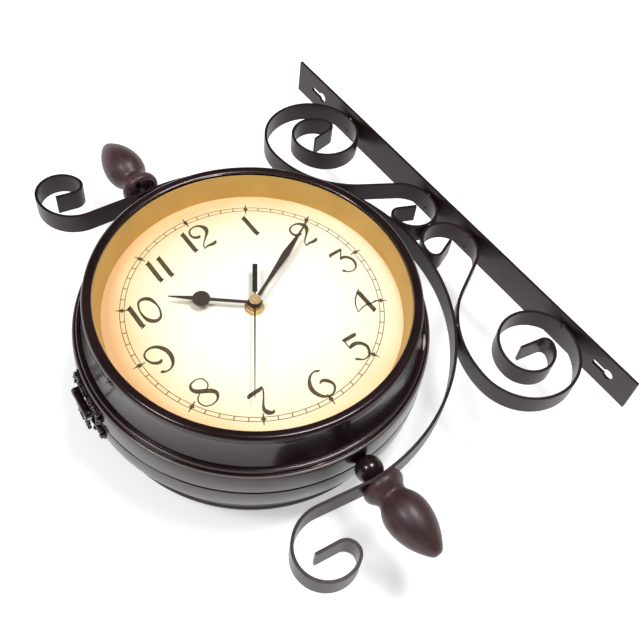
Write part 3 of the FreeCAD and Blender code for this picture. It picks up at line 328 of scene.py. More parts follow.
def aged_paper(name):
    """Printed dial: near white in the middle, cream further out and peach at the edge."""
    s = Shader(name)
    centred = s.calculate_vector("SUBTRACT", s.place(), (CENTRE.x, 0.0, CENTRE.z))
    flat = s.calculate_vector("MULTIPLY", centred, (1.0, 0.0, 1.0))
    radius = s.calculate_vector("LENGTH", flat, output="Value")
    blotch = s.noise(s.place(), 14.0, 3.0, 0.5)
    shift = s.span(blotch, -STAIN_BLOTCH, STAIN_BLOTCH)
    slant = s.calculate_vector("DOT_PRODUCT", centred, STAIN_LEAN, output="Value")
    shift = s.calculate("ADD", shift, slant)
    stained = s.calculate("ADD", radius, shift)
    reach = s.calculate("DIVIDE", stained, STAIN_REACH)
    base = s.ramp(reach, [(0.0, colour(254, 252, 244)), (0.45, colour(253, 246, 231)),
                          (0.72, colour(251, 236, 209)), (0.87, colour(249, 221, 178)),
                          (0.97, colour(247, 200, 147))])
    fibre = s.noise(s.place(), 1500.0, 3.0)
    return s.finish(Base_Color=base, Roughness=0.62, Normal=s.bump(fibre, 0.05, 0.0002),
                    Specular_IOR_Level=0.3)


def printing_ink(name):
    """Olive-brown printing ink, a little worn."""
    s = Shader(name)
    wear = s.noise(s.place(), 260.0, 4.0, 0.6)
    base = s.ramp(wear, [(0.3, colour(70, 60, 40)), (0.7, colour(98, 86, 60))])
    return s.finish(Base_Color=base, Roughness=0.7, Specular_IOR_Level=0.25)


def window_glass(name):
    """A thin clear sheet: its outer skin mirrors at a grazing look, and light and shadow pass through."""
    s = Shader(name)
    fresnel = s.add("ShaderNodeFresnel", {"IOR": 1.12}).outputs["Fac"]
    inner_skin = s.add("ShaderNodeNewGeometry").outputs["Backfacing"]
    share = s.calculate("SUBTRACT", fresnel, inner_skin, clamp=True)
    clear = s.add("ShaderNodeBsdfTransparent", {"Color": (0.985, 0.99, 0.985, 1.0)}).outputs["BSDF"]
    mirror = s.add("ShaderNodeBsdfGlossy", {"Roughness": 0.02}).outputs["BSDF"]
    mixed = s.add("ShaderNodeMixShader", {0: share, 1: clear, 2: mirror}).outputs["Shader"]
    s.add("ShaderNodeOutputMaterial", {"Surface": mixed})
    return s.material


def moulded_plastic(name):
    """Black moulded plastic with a fine grain."""
    s = Shader(name)
    fine = s.noise(s.place(), 1300.0, 2.0)
    cloud = s.noise(s.place(), 40.0, 3.0)
    base = s.ramp(cloud, [(0.3, colour(26, 26, 27)), (0.7, colour(36, 36, 37))])
    return s.finish(Base_Color=base, Roughness=s.span(cloud, 0.42, 0.55),
                    Normal=s.bump(fine, 0.12, 0.0003))


def metal(name, dark, light, rough_low, rough_high, metallic=1.0):
    """Turned or drawn metal with fine lines and a slightly uneven tone."""
    s = Shader(name)
    tone = s.noise(s.place(), 120.0, 4.0)
    lines = s.noise(s.stretched((1.0, 9.0, 1.0)), 900.0, 3.0)
    return s.finish(Base_Color=s.ramp(tone, [(0.3, dark), (0.7, light)]), Metallic=metallic,
                    Roughness=s.span(lines, rough_low, rough_high), Normal=s.bump(lines, 0.05, 0.0002))


def hand_paint(name, dark, light):
    """Satin paint of the hands, faintly speckled."""
    s = Shader(name)
    speckle = s.noise(s.place(), 420.0, 4.0, 0.6)
    base = s.ramp(speckle, [(0.3, dark), (0.75, light)])
    return s.finish(Base_Color=base, Roughness=s.span(speckle, 0.4, 0.5), Normal=s.round_edges(0.0002),
                    Specular_IOR_Level=0.5)


MATERIALS = {
    "bracket_paint": stove_enamel("bracket_enamel", 0.0004, 0.3, 0.05, streaks=0.12),
    "case_paint": stove_enamel("case_enamel", 0.0003, 0.17, 0.3, painted_edge_lines=True),
    "ball_paint": stove_enamel("ball_enamel", 0.0002, 0.22, 0.5),
    "latch_black": stove_enamel("latch_enamel", 0.0003, 0.12, 0.6),
    "finial_wood": turned_wood("finial_wood"),
    "clear_glass": window_glass("dial_glass"),
    "reveal_gold": gold_reveal("reveal_gold"),
    "dial_print": aged_paper("dial_paper"),
    "black_plastic": moulded_plastic("black_plastic"),
    "cell_jacket": metal("cell_jacket", colour(150, 148, 140), colour(178, 175, 166), 0.3, 0.42),
    "clock_brass": metal("clock_brass", colour(214, 176, 116), colour(238, 206, 152), 0.34, 0.46,
                         metallic=0.6),
    "hand_paint": hand_paint("hand_paint", colour(54, 43, 37), colour(78, 64, 55)),
    "plain_steel": metal("plain_steel", colour(150, 150, 152), colour(186, 186, 188), 0.26, 0.4),
}
INK = printing_ink("dial_ink")
THIN_HAND = hand_paint("second_hand_paint", colour(30, 24, 21), colour(42, 35, 30))


def dress_nodes():
    """Every carried-over node gets the full material of its record slot."""
    for entry in frame["record"]["subparts"]:
        thing = nodes[entry["node"]]
        thing.data.materials.clear()
        thing.data.materials.append(MATERIALS[entry["material_slot"]])
    for side in SIDES:
        nodes[f"{side}_second_hand"].material_slots[0].material = THIN_HAND


# ---------------------------------------------------------------- dial printing

# Each figure is a list of pen strokes in millimetres about its own middle: (across, up, width of the pen).
FIGURES = {
    "0": [[(-5.6, 3.0, 1.2), (-3.2, 8.6, 1.5), (0.6, 9.8, 2.4), (4.2, 7.6, 2.9), (5.8, 2.5, 1.6),
           (5.7, -2.6, 1.2), (3.4, -8.0, 1.6), (-0.4, -9.4, 2.6), (-4.0, -7.0, 2.9), (-5.6, -2.2, 1.7),
           (-5.6, 3.0, 1.2)]],
    "1": [[(-0.1, 8.2, 3.2), (-0.1, -8.6, 3.2)], [(-2.1, 7.8, 0.6), (0.2, 8.4, 1.4), (1.5, 9.7, 0.5)],
          [(-1.7, -9.9, 0.5), (0.2, -8.9, 1.4), (2.2, -8.3, 0.5)]],
    "2": [[(-0.5, 1.2, 1.4), (-2.2, 0.6, 2.4), (-4.7, 1.6, 2.2), (-5.9, 4.6, 1.6), (-4.6, 8.2, 1.3),
           (-0.8, 9.8, 1.2), (3.2, 8.8, 2.0), (5.6, 5.2, 3.2), (4.9, 1.6, 2.5), (1.6, -2.2, 1.3),
           (-2.4, -6.2, 0.9), (-3.9, -9.6, 0.8)],
          [(-4.3, -10.4, 0.7), (-1.2, -9.3, 1.5), (2.2, -9.6, 2.4), (4.6, -9.2, 2.4), (6.2, -8.0, 0.5)]],
    "3": [[(-5.5, 7.0, 0.6), (-4.6, 8.8, 2.4), (-1.5, 9.0, 2.4), (3.0, 9.2, 2.2), (5.0, 9.8, 0.8)],
          [(4.6, 9.2, 1.0), (2.6, 6.8, 0.9), (0.2, 3.8, 0.8)],
          [(-1.1, 2.2, 1.2), (0.8, 3.0, 2.4), (3.8, 1.8, 2.4), (5.8, -1.6, 2.1), (5.6, -5.4, 1.8),
           (3.4, -8.8, 1.1), (0.0, -9.8, 0.9), (-3.2, -8.6, 1.1), (-5.0, -6.6, 1.9), (-6.2, -6.2, 0.7)]],
    "4": [[(1.7, 8.6, 3.2), (1.7, -8.8, 3.2)], [(0.0, 8.8, 0.5), (2.0, 9.2, 1.2), (3.8, 10.6, 0.4)],
          [(-0.2, -9.8, 0.5), (1.6, -8.9, 1.3), (3.4, -8.2, 0.5)],
          [(0.6, 8.2, 1.0), (-3.2, 5.2, 1.0), (-6.4, 0.8, 0.8), (-8.2, -4.2, 0.7)],
          [(-8.4, -4.4, 0.6), (-4.0, -3.0, 0.9), (0.0, -2.6, 1.0), (4.4, -3.4, 1.0), (7.6, -3.4, 1.5)]],
    "5": [[(-3.9, 9.6, 1.0), (-3.3, 8.4, 2.6), (1.0, 8.3, 2.8), (4.6, 8.5, 2.6), (5.2, 9.6, 1.0)],
          [(-3.9, 8.4, 0.9), (-4.0, 1.0, 0.9)],
          [(-3.9, 1.6, 1.4), (-2.0, 2.5, 2.6), (1.2, 2.6, 2.8), (4.4, 0.6, 2.5), (5.9, -2.9, 2.2),
           (4.8, -6.9, 1.6), (2.0, -9.4, 1.1), (-1.5, -9.7, 1.0), (-4.1, -8.1, 1.5), (-5.4, -7.0, 1.7),
           (-6.4, -7.2, 0.7)]],
    "6": [[(6.0, 8.3, 0.5), (4.2, 8.7, 1.7), (2.4, 9.4, 1.2), (-0.6, 8.7, 1.2), (-3.8, 6.0, 2.0),
           (-6.1, 1.4, 2.8), (-6.0, -3.2, 2.8), (-3.6, -7.6, 2.2), (0.4, -9.6, 1.3), (4.2, -8.8, 1.3),
           (6.8, -5.6, 1.6), (6.6, -2.4, 2.1), (4.6, 0.4, 2.5), (2.4, 1.4, 2.0), (0.2, 0.6, 0.9)]],
    "7": [[(-6.2, 5.9, 0.7), (-5.2, 7.4, 2.6), (-1.5, 7.9, 2.7), (2.6, 8.1, 2.5), (5.1, 9.2, 0.8)],
          [(4.8, 8.8, 0.9), (4.2, 6.2, 1.0), (1.6, 2.0, 1.0), (-1.2, -1.8, 1.4), (-2.6, -4.8, 2.3),
           (-2.0, -7.4, 3.2), (-0.4, -8.9, 2.6), (1.3, -9.2, 1.6), (2.0, -7.8, 0.6)]],
    "8": [[(5.4, 4.6, 0.9), (4.0, 8.2, 0.9), (0.2, 9.5, 0.9), (-3.8, 8.2, 1.3), (-5.0, 5.2, 2.2),
           (-3.2, 2.2, 3.0), (0.8, 0.0, 3.1), (4.6, -2.4, 3.1), (6.2, -5.4, 2.4), (4.2, -9.0, 1.3),
           (0.0, -10.3, 0.9), (-4.2, -9.0, 0.9), (-6.0, -5.2, 0.9), (-4.9, -1.9, 0.9), (-2.6, -0.2, 0.8)],
          [(5.4, 4.6, 0.9), (4.6, 2.0, 0.9), (2.4, 0.4, 0.8)]],
    "9": [[(0.9, -1.0, 0.5), (-0.6, -2.4, 2.2), (-3.0, -2.2, 2.3), (-5.6, -0.2, 1.8), (-7.1, 3.4, 1.4),
           (-6.6, 6.8, 1.3), (-4.0, 9.0, 1.3), (-0.4, 9.4, 1.7), (3.6, 7.4, 2.5), (6.4, 2.8, 3.0),
           (6.8, -2.4, 2.8), (5.0, -7.4, 1.9), (1.8, -10.1, 1.2), (-1.4, -10.3, 1.3), (-3.2, -9.4, 2.1),
           (-4.7, -9.2, 0.8)]],
}
# How far each figure of a two-figure hour stands aside, in millimetres.
FIGURE_PLACES = {"10": (-6.1, 3.7), "11": (-4.1, 3.9), "12": (-7.6, 2.4)}
# The middle of the ring of figures and its reach across and up. The print sits a little off the axis.
FIGURE_MIDDLE, FIGURE_REACH = (1.0, -0.5), (71.0, 69.2)
# The railway track: its middle, the radii of its two circles, their width and half a minute line's width.
TRACK_MIDDLE = (0.45, 1.5)
TRACK_OUTER, TRACK_INNER, TRACK_LINE = 84.5, 81.7, 0.45
MINUTE_HALF = 0.3
# One side of an hour's pointed mark, inner end first: (across, distance past the track's middle line).
HOUR_MARK = [(0.25, -4.2), (0.55, -1.2), (1.9, 0.0), (0.55, 1.2), (0.25, 4.2)]
PRINT_RISE = 0.04


def pen_stroke(sheet, points, shift):
    """A ribbon of changing width along a smooth line through the points."""
    line = smooth_profile([Vector(point) for point in points], 8 if len(points) > 2 else 1)
    pairs = []
    for i, spot in enumerate(line):
        ahead = line[min(i + 1, len(line) - 1)] - line[max(i - 1, 0)]
        side = Vector((-ahead.y, ahead.x)).normalized() * (spot.z / 2)
        across, up = shift[0] + spot.x, shift[1] + spot.y
        pairs.append([sheet.verts.new((across + sign * side.x, 0, up + sign * side.y)) for sign in (1, -1)])
    for (a, b), (c, d) in zip(pairs, pairs[1:]):
        sheet.faces.new((a, b, d, c))


def ring(sheet, radius, width, count=240):
    """A printed circle about the track's own middle."""
    edges = []
    for k in range(count):
        angle = 2 * math.pi * k / count
        edges.append([sheet.verts.new((TRACK_MIDDLE[0] + (radius + sign * width / 2) * math.sin(angle), 0,
                                       TRACK_MIDDLE[1] + (radius + sign * width / 2) * math.cos(angle)))
                      for sign in (-1, 1)])
    for k in range(count):
        (a, b), (c, d) = edges[k], edges[(k + 1) % count]
        sheet.faces.new((a, b, d, c))


def radial_shape(sheet, angle, corners):
    """A small flat shape on the dial: corners are (across, radius) before it is turned to its hour."""
    turned = []
    for across, radius in corners:
        turned.append(sheet.verts.new((
            TRACK_MIDDLE[0] + radius * math.sin(angle) + across * math.cos(angle), 0,
            TRACK_MIDDLE[1] + radius * math.cos(angle) - across * math.sin(angle))))
    sheet.faces.new(turned)


def print_dial(side):
    """The railway track, its hour marks and the twelve hour numbers of one dial."""
    sheet = bmesh.new()
    ring(sheet, TRACK_OUTER, TRACK_LINE)
    ring(sheet, TRACK_INNER, TRACK_LINE)
    for minute in range(60):
        angle = math.radians(6 * minute)
        if minute % 5:
            radial_shape(sheet, angle, [(-MINUTE_HALF, TRACK_INNER), (MINUTE_HALF, TRACK_INNER),
                                        (MINUTE_HALF, TRACK_OUTER), (-MINUTE_HALF, TRACK_OUTER)])
        else:
            middle = (TRACK_INNER + TRACK_OUTER) / 2
            right = [(across, middle + out) for across, out in HOUR_MARK]
            left = [(-across, radius) for across, radius in reversed(right)]
            radial_shape(sheet, angle, right + left)
    for hour in range(1, 13):
        angle = math.radians(30 * hour)
        figures = str(hour)
        for figure, across in zip(figures, FIGURE_PLACES.get(figures, (0.0,))):
            middle = (FIGURE_MIDDLE[0] + FIGURE_REACH[0] * math.sin(angle) + across,
                      FIGURE_MIDDLE[1] + FIGURE_REACH[1] * math.cos(angle))
            for points in FIGURES[figure]:
                pen_stroke(sheet, points, middle)
    bmesh.ops.scale(sheet, vec=(MM, MM, MM), verts=sheet.verts)
    bmesh.ops.translate(sheet, vec=(0, -DIAL_FACE - PRINT_RISE * MM, 0), verts=sheet.verts)
    bmesh.ops.transform(sheet, matrix=half_matrix(side), verts=sheet.verts)
    outward = half_matrix(side).to_3x3() @ Vector((0, -1, 0))
    thing = finish_piece(sheet, f"{side}_dial_figures", INK, body_of(side), smooth=False)
    for face in thing.data.polygons:
        if face.normal.dot(outward) < 0:
            face.flip()


# ---------------------------------------------------------------- cases

# The outside of one half from the seam outwards, in millimetres: (radius, distance out, easing).
BELT_EDGE = [(114.6, 0.15, 0.0), (116.0, 1.0, 0.4), (116.0, 9.6, 3.0), (115.2, 19.0, 1.9),
             (112.9, 18.3, 0.3), (112.6, 21.2, 1.3), (109.9, 21.2, 1.3)]
# The cove and the rolled rim, and then the inside back to the seam: (radius, distance out).
COVE_AND_RIM = [(109.3, 23.2), (108.25, 26.5), (107.0, 32.0), (106.1, 38.0), (105.75, 42.4), (105.5, 43.5),
                (105.9, 44.1), (106.35, 44.9), (106.4, 45.9), (106.0, 47.1), (104.8, 48.1), (103.2, 48.3),
                (101.6, 48.1), (100.5, 47.7), (100.0, 47.2)]
CASE_LINING = [(100.2, 47.12), (104.3, 47.12), (104.4, 43.2), (107.0, 26.0), (109.2, 17.4), (114.0, 17.4),
               (114.8, 9.0)]
STUD_CIRCLE, STUD_ANGLES = 110.9, (150, 270, 30)
STUD_PROFILE = [(0.0, 0.0), (1.5, 0.0), (1.5, 4.6), (1.1, 5.0), (0.0, 5.0)]
# How far out of the seam the studs' feet stand.
SHOULDER = 17.5
CASE_SEGMENTS, STUD_SEGMENTS = 200, 16


def out_of_dial(side):
    """Local frame of one half with Z out of its dial."""
    return half_matrix(side) @ Matrix.Rotation(math.pi / 2, 4, "X")


def spin_case(side):
    """A spun half: rounded belt, flange and bead, a hollow cove and a rolled rim over a thin shadow line."""
    profile = eased_profile(BELT_EDGE)[:-1]
    profile += smooth_profile([profile[-1]] + COVE_AND_RIM, 4)[1:]
    profile += [Vector(corner) for corner in CASE_LINING]
    sheet = bmesh.new()
    lathe(sheet, profile, out_of_dial(side), CASE_SEGMENTS, closed=True)
    for degrees in STUD_ANGLES:
        angle = math.radians(degrees)
        foot = Vector((STUD_CIRCLE * math.cos(angle) * MM, -SHOULDER * MM,
                       STUD_CIRCLE * math.sin(angle) * MM))
        inward = half_matrix(side) @ Matrix.Translation(foot) @ Matrix.Rotation(-math.pi / 2, 4, "X")
        lathe(sheet, STUD_PROFILE, inward, STUD_SEGMENTS)
    name = f"{side}_case_spinning"
    thing = finish_piece(sheet, name, MATERIALS["case_paint"], body_of(side))
    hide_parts(f"{side}_case")


# The cove's screw: its angle from the top in degrees, its distance from the axis and out of the seam.
SCREW_ANGLE, SCREW_RADIUS, SCREW_OUT = 266.0, 106.0, 42.2
SCREW_PROFILE = [(0.0, 2.2), (0.8, 2.1), (0.85, 1.4), (1.3, 1.4), (1.35, 1.95), (2.2, 1.5), (2.8, 0.7),
                 (3.0, -0.3), (0.0, -0.6)]


def set_cove_screw():
    """The small screw in the front cove that keeps the glass ring."""
    angle = math.radians(SCREW_ANGLE)
    outward = Vector((math.sin(angle), -0.12, math.cos(angle))).normalized()
    foot = CENTRE + Vector((SCREW_RADIUS * math.sin(angle), -SCREW_OUT, SCREW_RADIUS * math.cos(angle))) * MM
    turn = outward.to_track_quat("Z", "Y").to_matrix().to_4x4()
    sheet = bmesh.new()
    lathe(sheet, SCREW_PROFILE, Matrix.Translation(foot) @ turn, 28)
    finish_piece(sheet, "cove_screw", MATERIALS["latch_black"], "bracket")


# ---------------------------------------------------------------- latch ornament

# The latch's turn about the clock's axis, in degrees.
LATCH_ANGLE = 4.6
# The plates' faces lie at this radius, and past the bend they lean in by this share of the distance.
SKIN_RADIUS, SKIN_BEND, SKIN_LEAN = 117.2, 9.0, 0.1
HASP_FACE = 120.9
# Curls on a plate, as (out, along, radius, start, turns), and the lobes of its leaf, as (out, along).
PLATE_CURLS = ((10.4, 4.6, 3.6, 90, 1.3), (8.4, 11.6, 3.2, 200, -1.25), (13.6, 11.4, 2.6, -20, 1.2))
PLATE_LOBES = ((5.6, 16.4), (9.6, 17.0), (13.6, 16.0), (15.4, 7.6))
HASP_LOBES = ((1.0, 6.2), (4.6, 7.2), (8.6, 6.6), (12.2, 7.2), (14.2, 4.4))
CURL_STEPS = 28


def latch_frame():
    """Local frame of the latch: the clock's axis at the seam, turned to where the latch sits."""
    return Matrix.Translation(CENTRE) @ Matrix.Rotation(math.radians(LATCH_ANGLE), 4, "Y")


def on_skin(y, z, lift=0.3):
    """A place on the latch's plates: y out from the seam and z along it, in millimetres."""
    reach = SKIN_RADIUS + lift - SKIN_LEAN * max(abs(y) - SKIN_BEND, 0)
    return latch_frame() @ (Vector((-math.sqrt(reach**2 - z**2), y, z)) * MM)


def on_hasp(y, z, lift=0.2):
    """A place on the hasp's outer face, in millimetres."""
    return latch_frame() @ (Vector((-HASP_FACE - lift, y, z)) * MM)


def scroll_line(place, y, z, radius, start, turns):
    """A curl that tightens towards its middle."""
    line = []
    for k in range(CURL_STEPS + 1):
        t = k / CURL_STEPS
        angle = math.radians(start + 360 * turns * t)
        reach = radius * (1 - 0.75 * t)
        line.append(place(y + reach * math.cos(angle), z + reach * math.sin(angle)))
    return line


def cast_plate_relief(name, out, body):
    """Cast scrolls and a lobed leaf at each end of one plate of the latch."""
    draw = random.Random(11 if out < 0 else 12)
    sheet = bmesh.new()
    for end in (-1, 1):
        for y, z, radius, start, turns in PLATE_CURLS:
            line = scroll_line(on_skin, out * y, end * z, radius, start * end, turns * end * out)
            tube(sheet, line, 0.75 * MM)
        for y, z in PLATE_LOBES:
            lump(sheet, on_skin(out * y, end * z), [1.9 * MM, 1.9 * MM, 1.7 * MM], 0.35, draw.uniform(0, 9))
    finish_piece(sheet, name, MATERIALS["latch_black"], body)


def cast_hasp_relief():
    """Domes and curls cast on the hasp, and a pointed leaf at its fork."""
    draw = random.Random(13)
    sheet = bmesh.new()
    for end in (-1, 1):
        tube(sheet, scroll_line(on_hasp, 5.4, end * 4.4, 2.6, 90 * end, 1.25 * end), 0.6 * MM)
        tube(sheet, scroll_line(on_hasp, 11.4, end * 4.8, 2.2, -90 * end, 1.2 * end), 0.55 * MM)
        for y, z in HASP_LOBES:
            lump(sheet, on_hasp(y, end * z, -0.5), [1.3 * MM] * 3, 0.35, draw.uniform(0, 9))
    finish_piece(sheet, "hasp_relief", MATERIALS["latch_black"], "hasp")


def round_ears():
    """The swollen knobs over the hasp's two ears."""
    sheet = bmesh.new()
    for end in (-1, 1):
        place = latch_frame() @ (Vector((-119.6, -5.5, end * 9.3)) * MM)
        lump(sheet, place, [2.9 * MM, 3.1 * MM, 2.5 * MM], 0.25, 3 + end)
    finish_piece(sheet, "latch_ear_knobs", MATERIALS["latch_black"], "bracket")


# ---------------------------------------------------------------- ball spacers, welds and finials

# Radius of the flat at each end of a ball, in millimetres.
BALL_FLAT = 3.8
BALL_STEPS, BALL_SEGMENTS = 32, 64


def turn_ball(name):
    """A polished ball with a small flat at each end."""
    low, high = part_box(name)
    half = (high.z - low.z) / 2 / MM
    radius = math.hypot(half, BALL_FLAT)
    steep = math.asin(half / radius)
    profile = [(0.0, -half)]
    for k in range(BALL_STEPS + 1):
        angle = -steep + 2 * steep * k / BALL_STEPS
        profile.append((radius * math.cos(angle), radius * math.sin(angle)))
    profile.append((0.0, half))
    sheet = bmesh.new()
    lathe(sheet, profile, Matrix.Translation((low + high) / 2), BALL_SEGMENTS)
    thing = finish_piece(sheet, name + "_turning", MATERIALS["ball_paint"], "bracket")
    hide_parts(name)


# Points of the weld node nearer than this belong to one bead, in metres.
BEAD_REACH = 4 * MM
# Weld metal stays this far off the wall's face, and its knobs stand this far from the straps' middle.
WALL_ROOM = 2.9 * MM
STRAP_EDGE = 6.9 * MM


def weld_places():
    """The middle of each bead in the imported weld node."""
    mesh = nodes["weld_beads"].data
    spots = []
    for vert in mesh.vertices:
        for group in spots:
            if math.hypot(vert.co.x - group[0].x, vert.co.z - group[0].z) < BEAD_REACH:
                group.append(vert.co.copy())
                break
        else:
            spots.append([vert.co.copy()])
    return [sum(group, Vector()) / len(group) for group in spots]


def make_weld_lumps():
    """The uneven knobs of weld metal that stand at both edges of every strap joint."""
    draw = random.Random(7)
    sheet = bmesh.new()
    for k, spot in enumerate(weld_places()):
        for edge in (-1, 1):
            place = Vector((min(spot.x, -WALL_ROOM), edge * STRAP_EDGE, spot.z))
            size = [draw.uniform(1.5, 2.1) * MM, 1.3 * MM, draw.uniform(1.5, 2.3) * MM]
            lump(sheet, place, size, 0.5, k * 2 + edge)
            aside = Vector((draw.uniform(-1.6, 0.4), -edge * draw.uniform(0.5, 2.0),
                            draw.uniform(-2.2, 2.2))) * MM
            lump(sheet, place + aside, [draw.uniform(0.7, 1.1) * MM] * 3, 0.4, k + 31)
    finish_piece(sheet, "weld_lumps", MATERIALS["ball_paint"], "bracket")


# A finial's outside from its collar to its tip, and the hollow under the collar: (radius, height).
FINIAL_SKIN = [(10.6, 0.7), (11.0, 0.1), (11.9, 0.0), (12.9, 0.7), (13.5, 2.2), (13.55, 4.0), (12.9, 6.0),
               (11.5, 8.0), (10.2, 10.0), (9.85, 11.8), (10.5, 13.8), (11.9, 16.2), (13.4, 19.6),
               (14.25, 23.8), (14.3, 28.6), (13.5, 34.0), (11.8, 39.8), (9.2, 45.4), (6.2, 50.2),
               (4.2, 52.8), (2.6, 54.0), (1.2, 54.3), (0.0, 54.3)]
FINIAL_CUP = [(0.0, 6.0), (9.6, 6.0), (10.3, 5.4)]
FINIAL_SEGMENTS = 96


def turn_finial(name, top):
    """A turned finial: a collar hollowed like a cup, a waist and a pointed bulb."""
    low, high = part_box(name)
    base = low.z if top else high.z
    tip = FINIAL_SKIN[-1][1]
    stretch = (high.z - low.z) / MM / tip
    skin = [(spot.x, min(spot.y, tip)) for spot in smooth_profile(FINIAL_SKIN, 5)]
    profile = [(x, y * stretch) for x, y in FINIAL_CUP + skin]
    flip = Matrix.Identity(4) if top else Matrix.Rotation(math.pi, 4, "X")
    foot = Matrix.Translation(((low.x + high.x) / 2, (low.y + high.y) / 2, base))
    sheet = bmesh.new()
    lathe(sheet, profile, foot @ flip, FINIAL_SEGMENTS)
    thing = finish_piece(sheet, name + "_turning", MATERIALS["finial_wood"], "bracket")
    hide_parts(name)


# ---------------------------------------------------------------- camera, table and lamps

# The camera's place in metres, the way it looks, its right-hand side and its lens in millimetres.
CAMERA_PLACE = (-0.37711, -0.48555, -0.27986)
CAMERA_AWAY = (0.40694, 0.80436, 0.43290)
CAMERA_RIGHT = (0.80099, -0.08641, -0.59240)
CAMERA_LENS, CAMERA_SENSOR = 50.22, 36


def make_camera():
    """The photograph's camera, as fitted to the dial and the case."""
    lens = bpy.data.cameras.new("camera")
    lens.sensor_width = CAMERA_SENSOR
    lens.lens = CAMERA_LENS
    camera = bpy.data.objects.new("camera", lens)
    bpy.context.scene.collection.objects.link(camera)
    right = Vector(CAMERA_RIGHT).normalized()
    away = Vector(CAMERA_AWAY)
    away = (away - right * away.dot(right)).normalized()
    up = right.cross(away)
    turn = Matrix((right, up, -away)).transposed().to_4x4()
    camera.matrix_world = Matrix.Translation(CAMERA_PLACE) @ turn
    bpy.context.scene.camera = camera


# Glow of the table to the camera and in reflections, its gap under the clock and half its width in metres.
TABLE_GLOW = 0.42
TABLE_GAP = 0.0005
TABLE_HALF = 4.0


def table_material():
    """White table: the camera and reflections see it near white, and it keeps the soft shadow."""
    s = Shader("table_white")
    path = s.add("ShaderNodeLightPath").outputs
    seen = s.calculate("MAXIMUM", path["Is Camera Ray"], path["Is Glossy Ray"])
    seen = s.calculate("MAXIMUM", seen, path["Is Transmission Ray"])
    glow = s.calculate("MULTIPLY", seen, TABLE_GLOW)
    soft = s.add("ShaderNodeBsdfDiffuse", {"Color": (0.8, 0.8, 0.81, 1.0)}).outputs["BSDF"]
    light = s.add("ShaderNodeEmission", {"Color": WHITE, "Strength": glow}).outputs["Emission"]
    both = s.add("ShaderNodeAddShader", {0: soft, 1: light}).outputs["Shader"]
    clear = s.add("ShaderNodeBsdfTransparent").outputs["BSDF"]
    behind = s.add("ShaderNodeNewGeometry").outputs["Backfacing"]
    surface = s.add("ShaderNodeMixShader", {0: behind, 1: both, 2: clear}).outputs["Shader"]
    s.add("ShaderNodeOutputMaterial", {"Surface": surface})
    return s.material


def make_table():
    """The table that the clock lies on, against its back face and seen only from the clock's side."""
    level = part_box("back_case")[1].y + TABLE_GAP
    corners = [(x * TABLE_HALF, level, z * TABLE_HALF) for x, z in ((-1, -1), (-1, 1), (1, 1), (1, -1))]
    sheet = bpy.data.meshes.new("table")
    sheet.from_pydata(corners, [], [(3, 2, 1, 0)])
    sheet.materials.append(table_material())
    table = bpy.data.objects.new("table", sheet)
    bpy.context.scene.collection.objects.link(table)
    table.visible_shadow = False


# The studio shell: its radius in metres, and the degrees it stays open above and below the table's level.
DOME_RADIUS, DOME_OPENING = 2.6, 14
DOME_STEPS, DOME_SEGMENTS = 12, 64


def make_dome():
    """The unlit studio round the table: dark, open at table height, and seen only in gloss."""
    s = Shader("studio_dark")
    tone = s.noise(s.place(), 0.8, 2.0)
    grey = s.ramp(tone, [(0.3, (0.012, 0.012, 0.012, 1.0)), (0.7, (0.022, 0.021, 0.022, 1.0))])
    glow = s.add("ShaderNodeEmission", {"Color": grey, "Strength": 1.0}).outputs["Emission"]
    s.add("ShaderNodeOutputMaterial", {"Surface": glow})
    sheet = bmesh.new()
    for sign in (-1, 1):
        arc = []
        for k in range(DOME_STEPS + 1):
            angle = math.radians(DOME_OPENING + (90 - DOME_OPENING) * k / DOME_STEPS)
            arc.append((DOME_RADIUS / MM * math.cos(angle), sign * DOME_RADIUS / MM * math.sin(angle)))
        arc[-1] = (0.0, arc[-1][1])
        lathe(sheet, arc, Matrix.Translation(CENTRE) @ Matrix.Rotation(math.pi / 2, 4, "X"),
              DOME_SEGMENTS)
    mesh = bpy.data.meshes.new("studio_dome")
    sheet.to_mesh(mesh)
    sheet.free()
    mesh.materials.append(s.material)
    dome = bpy.data.objects.new("studio_dome", mesh)
    bpy.context.scene.collection.objects.link(dome)
    dome.visible_camera = False
    dome.visible_diffuse = False
    dome.visible_shadow = False


# Strength of the surroundings' light on the clock.
WORLD_LIGHT = 0.4
# Each soft box: its name, its direction from the clock, its distance and size in metres, its watts.
LAMPS = [("key", (0.24, -0.965, -0.09), 1.5, 0.42, 14),
         ("second", (-0.516, -0.85, 0.105), 1.5, 0.36, 9),
         ("back_key", (0.1, 1.0, 0.15), 1.6, 0.9, 26)]


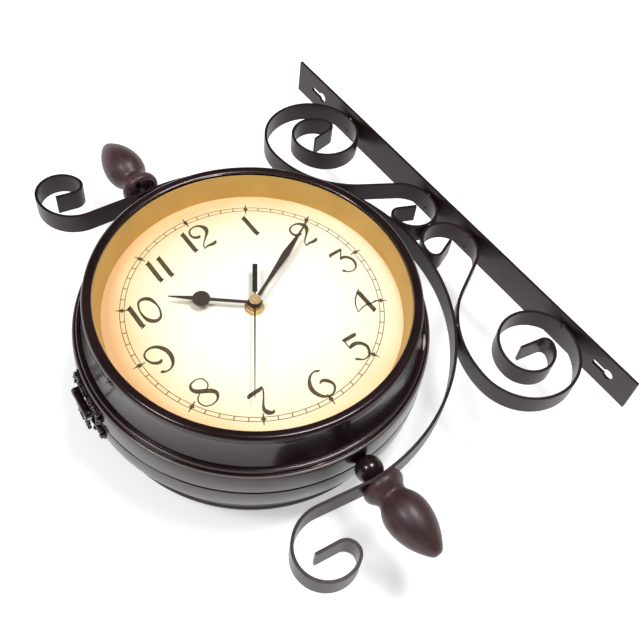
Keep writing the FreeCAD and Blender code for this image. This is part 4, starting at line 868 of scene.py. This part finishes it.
def area_lamp(name, towards, distance, size, power):
    """A square soft box that faces the clock from a direction."""
    lamp = bpy.data.lights.new(name, "AREA")
    lamp.shape = "RECTANGLE"
    lamp.size = size
    lamp.size_y = size
    lamp.energy = power
    thing = bpy.data.objects.new(name, lamp)
    away = Vector(towards).normalized()
    thing.location = CENTRE + away * distance
    thing.rotation_euler = away.to_track_quat("Z", "Y").to_euler()
    bpy.context.scene.collection.objects.link(thing)


def make_light():
    """Soft light from all round, white where it is seen itself, and the three lamps."""
    world = bpy.data.worlds.new("studio")
    bpy.context.scene.world = world
    world.use_nodes = True
    tree = world.node_tree
    tree.nodes.clear()
    path = tree.nodes.new("ShaderNodeLightPath")
    plain = tree.nodes.new("ShaderNodeBackground")
    plain.inputs["Color"].default_value = (0.97, 0.97, 1.0, 1.0)
    plain.inputs["Strength"].default_value = WORLD_LIGHT
    white = tree.nodes.new("ShaderNodeBackground")
    white.inputs["Color"].default_value = WHITE
    white.inputs["Strength"].default_value = 1.0
    seen = path.outputs["Is Camera Ray"]
    for kind in ("Is Glossy Ray", "Is Transmission Ray"):
        either = tree.nodes.new("ShaderNodeMath")
        either.operation = "MAXIMUM"
        tree.links.new(seen, either.inputs[0])
        tree.links.new(path.outputs[kind], either.inputs[1])
        seen = either.outputs[0]
    mix = tree.nodes.new("ShaderNodeMixShader")
    out = tree.nodes.new("ShaderNodeOutputWorld")
    tree.links.new(seen, mix.inputs[0])
    tree.links.new(plain.outputs[0], mix.inputs[1])
    tree.links.new(white.outputs[0], mix.inputs[2])
    tree.links.new(mix.outputs[0], out.inputs["Surface"])
    for lamp in LAMPS:
        area_lamp(*lamp)


# ---------------------------------------------------------------- the whole scene

make_camera()
dress_nodes()
for clock_side in SIDES:
    print_dial(clock_side)
    spin_case(clock_side)
set_cove_screw()
cast_plate_relief("front_latch_relief", -1, "bracket")
cast_plate_relief("back_latch_relief", 1, "back_half")
cast_hasp_relief()
round_ears()
turn_ball("top_ball_spacer")
turn_ball("bottom_ball_spacer")
make_weld_lumps()
turn_finial("top_finial", True)
turn_finial("bottom_finial", False)
make_table()
make_dome()
make_light()
bpy.context.scene.view_settings.view_transform = "Standard"
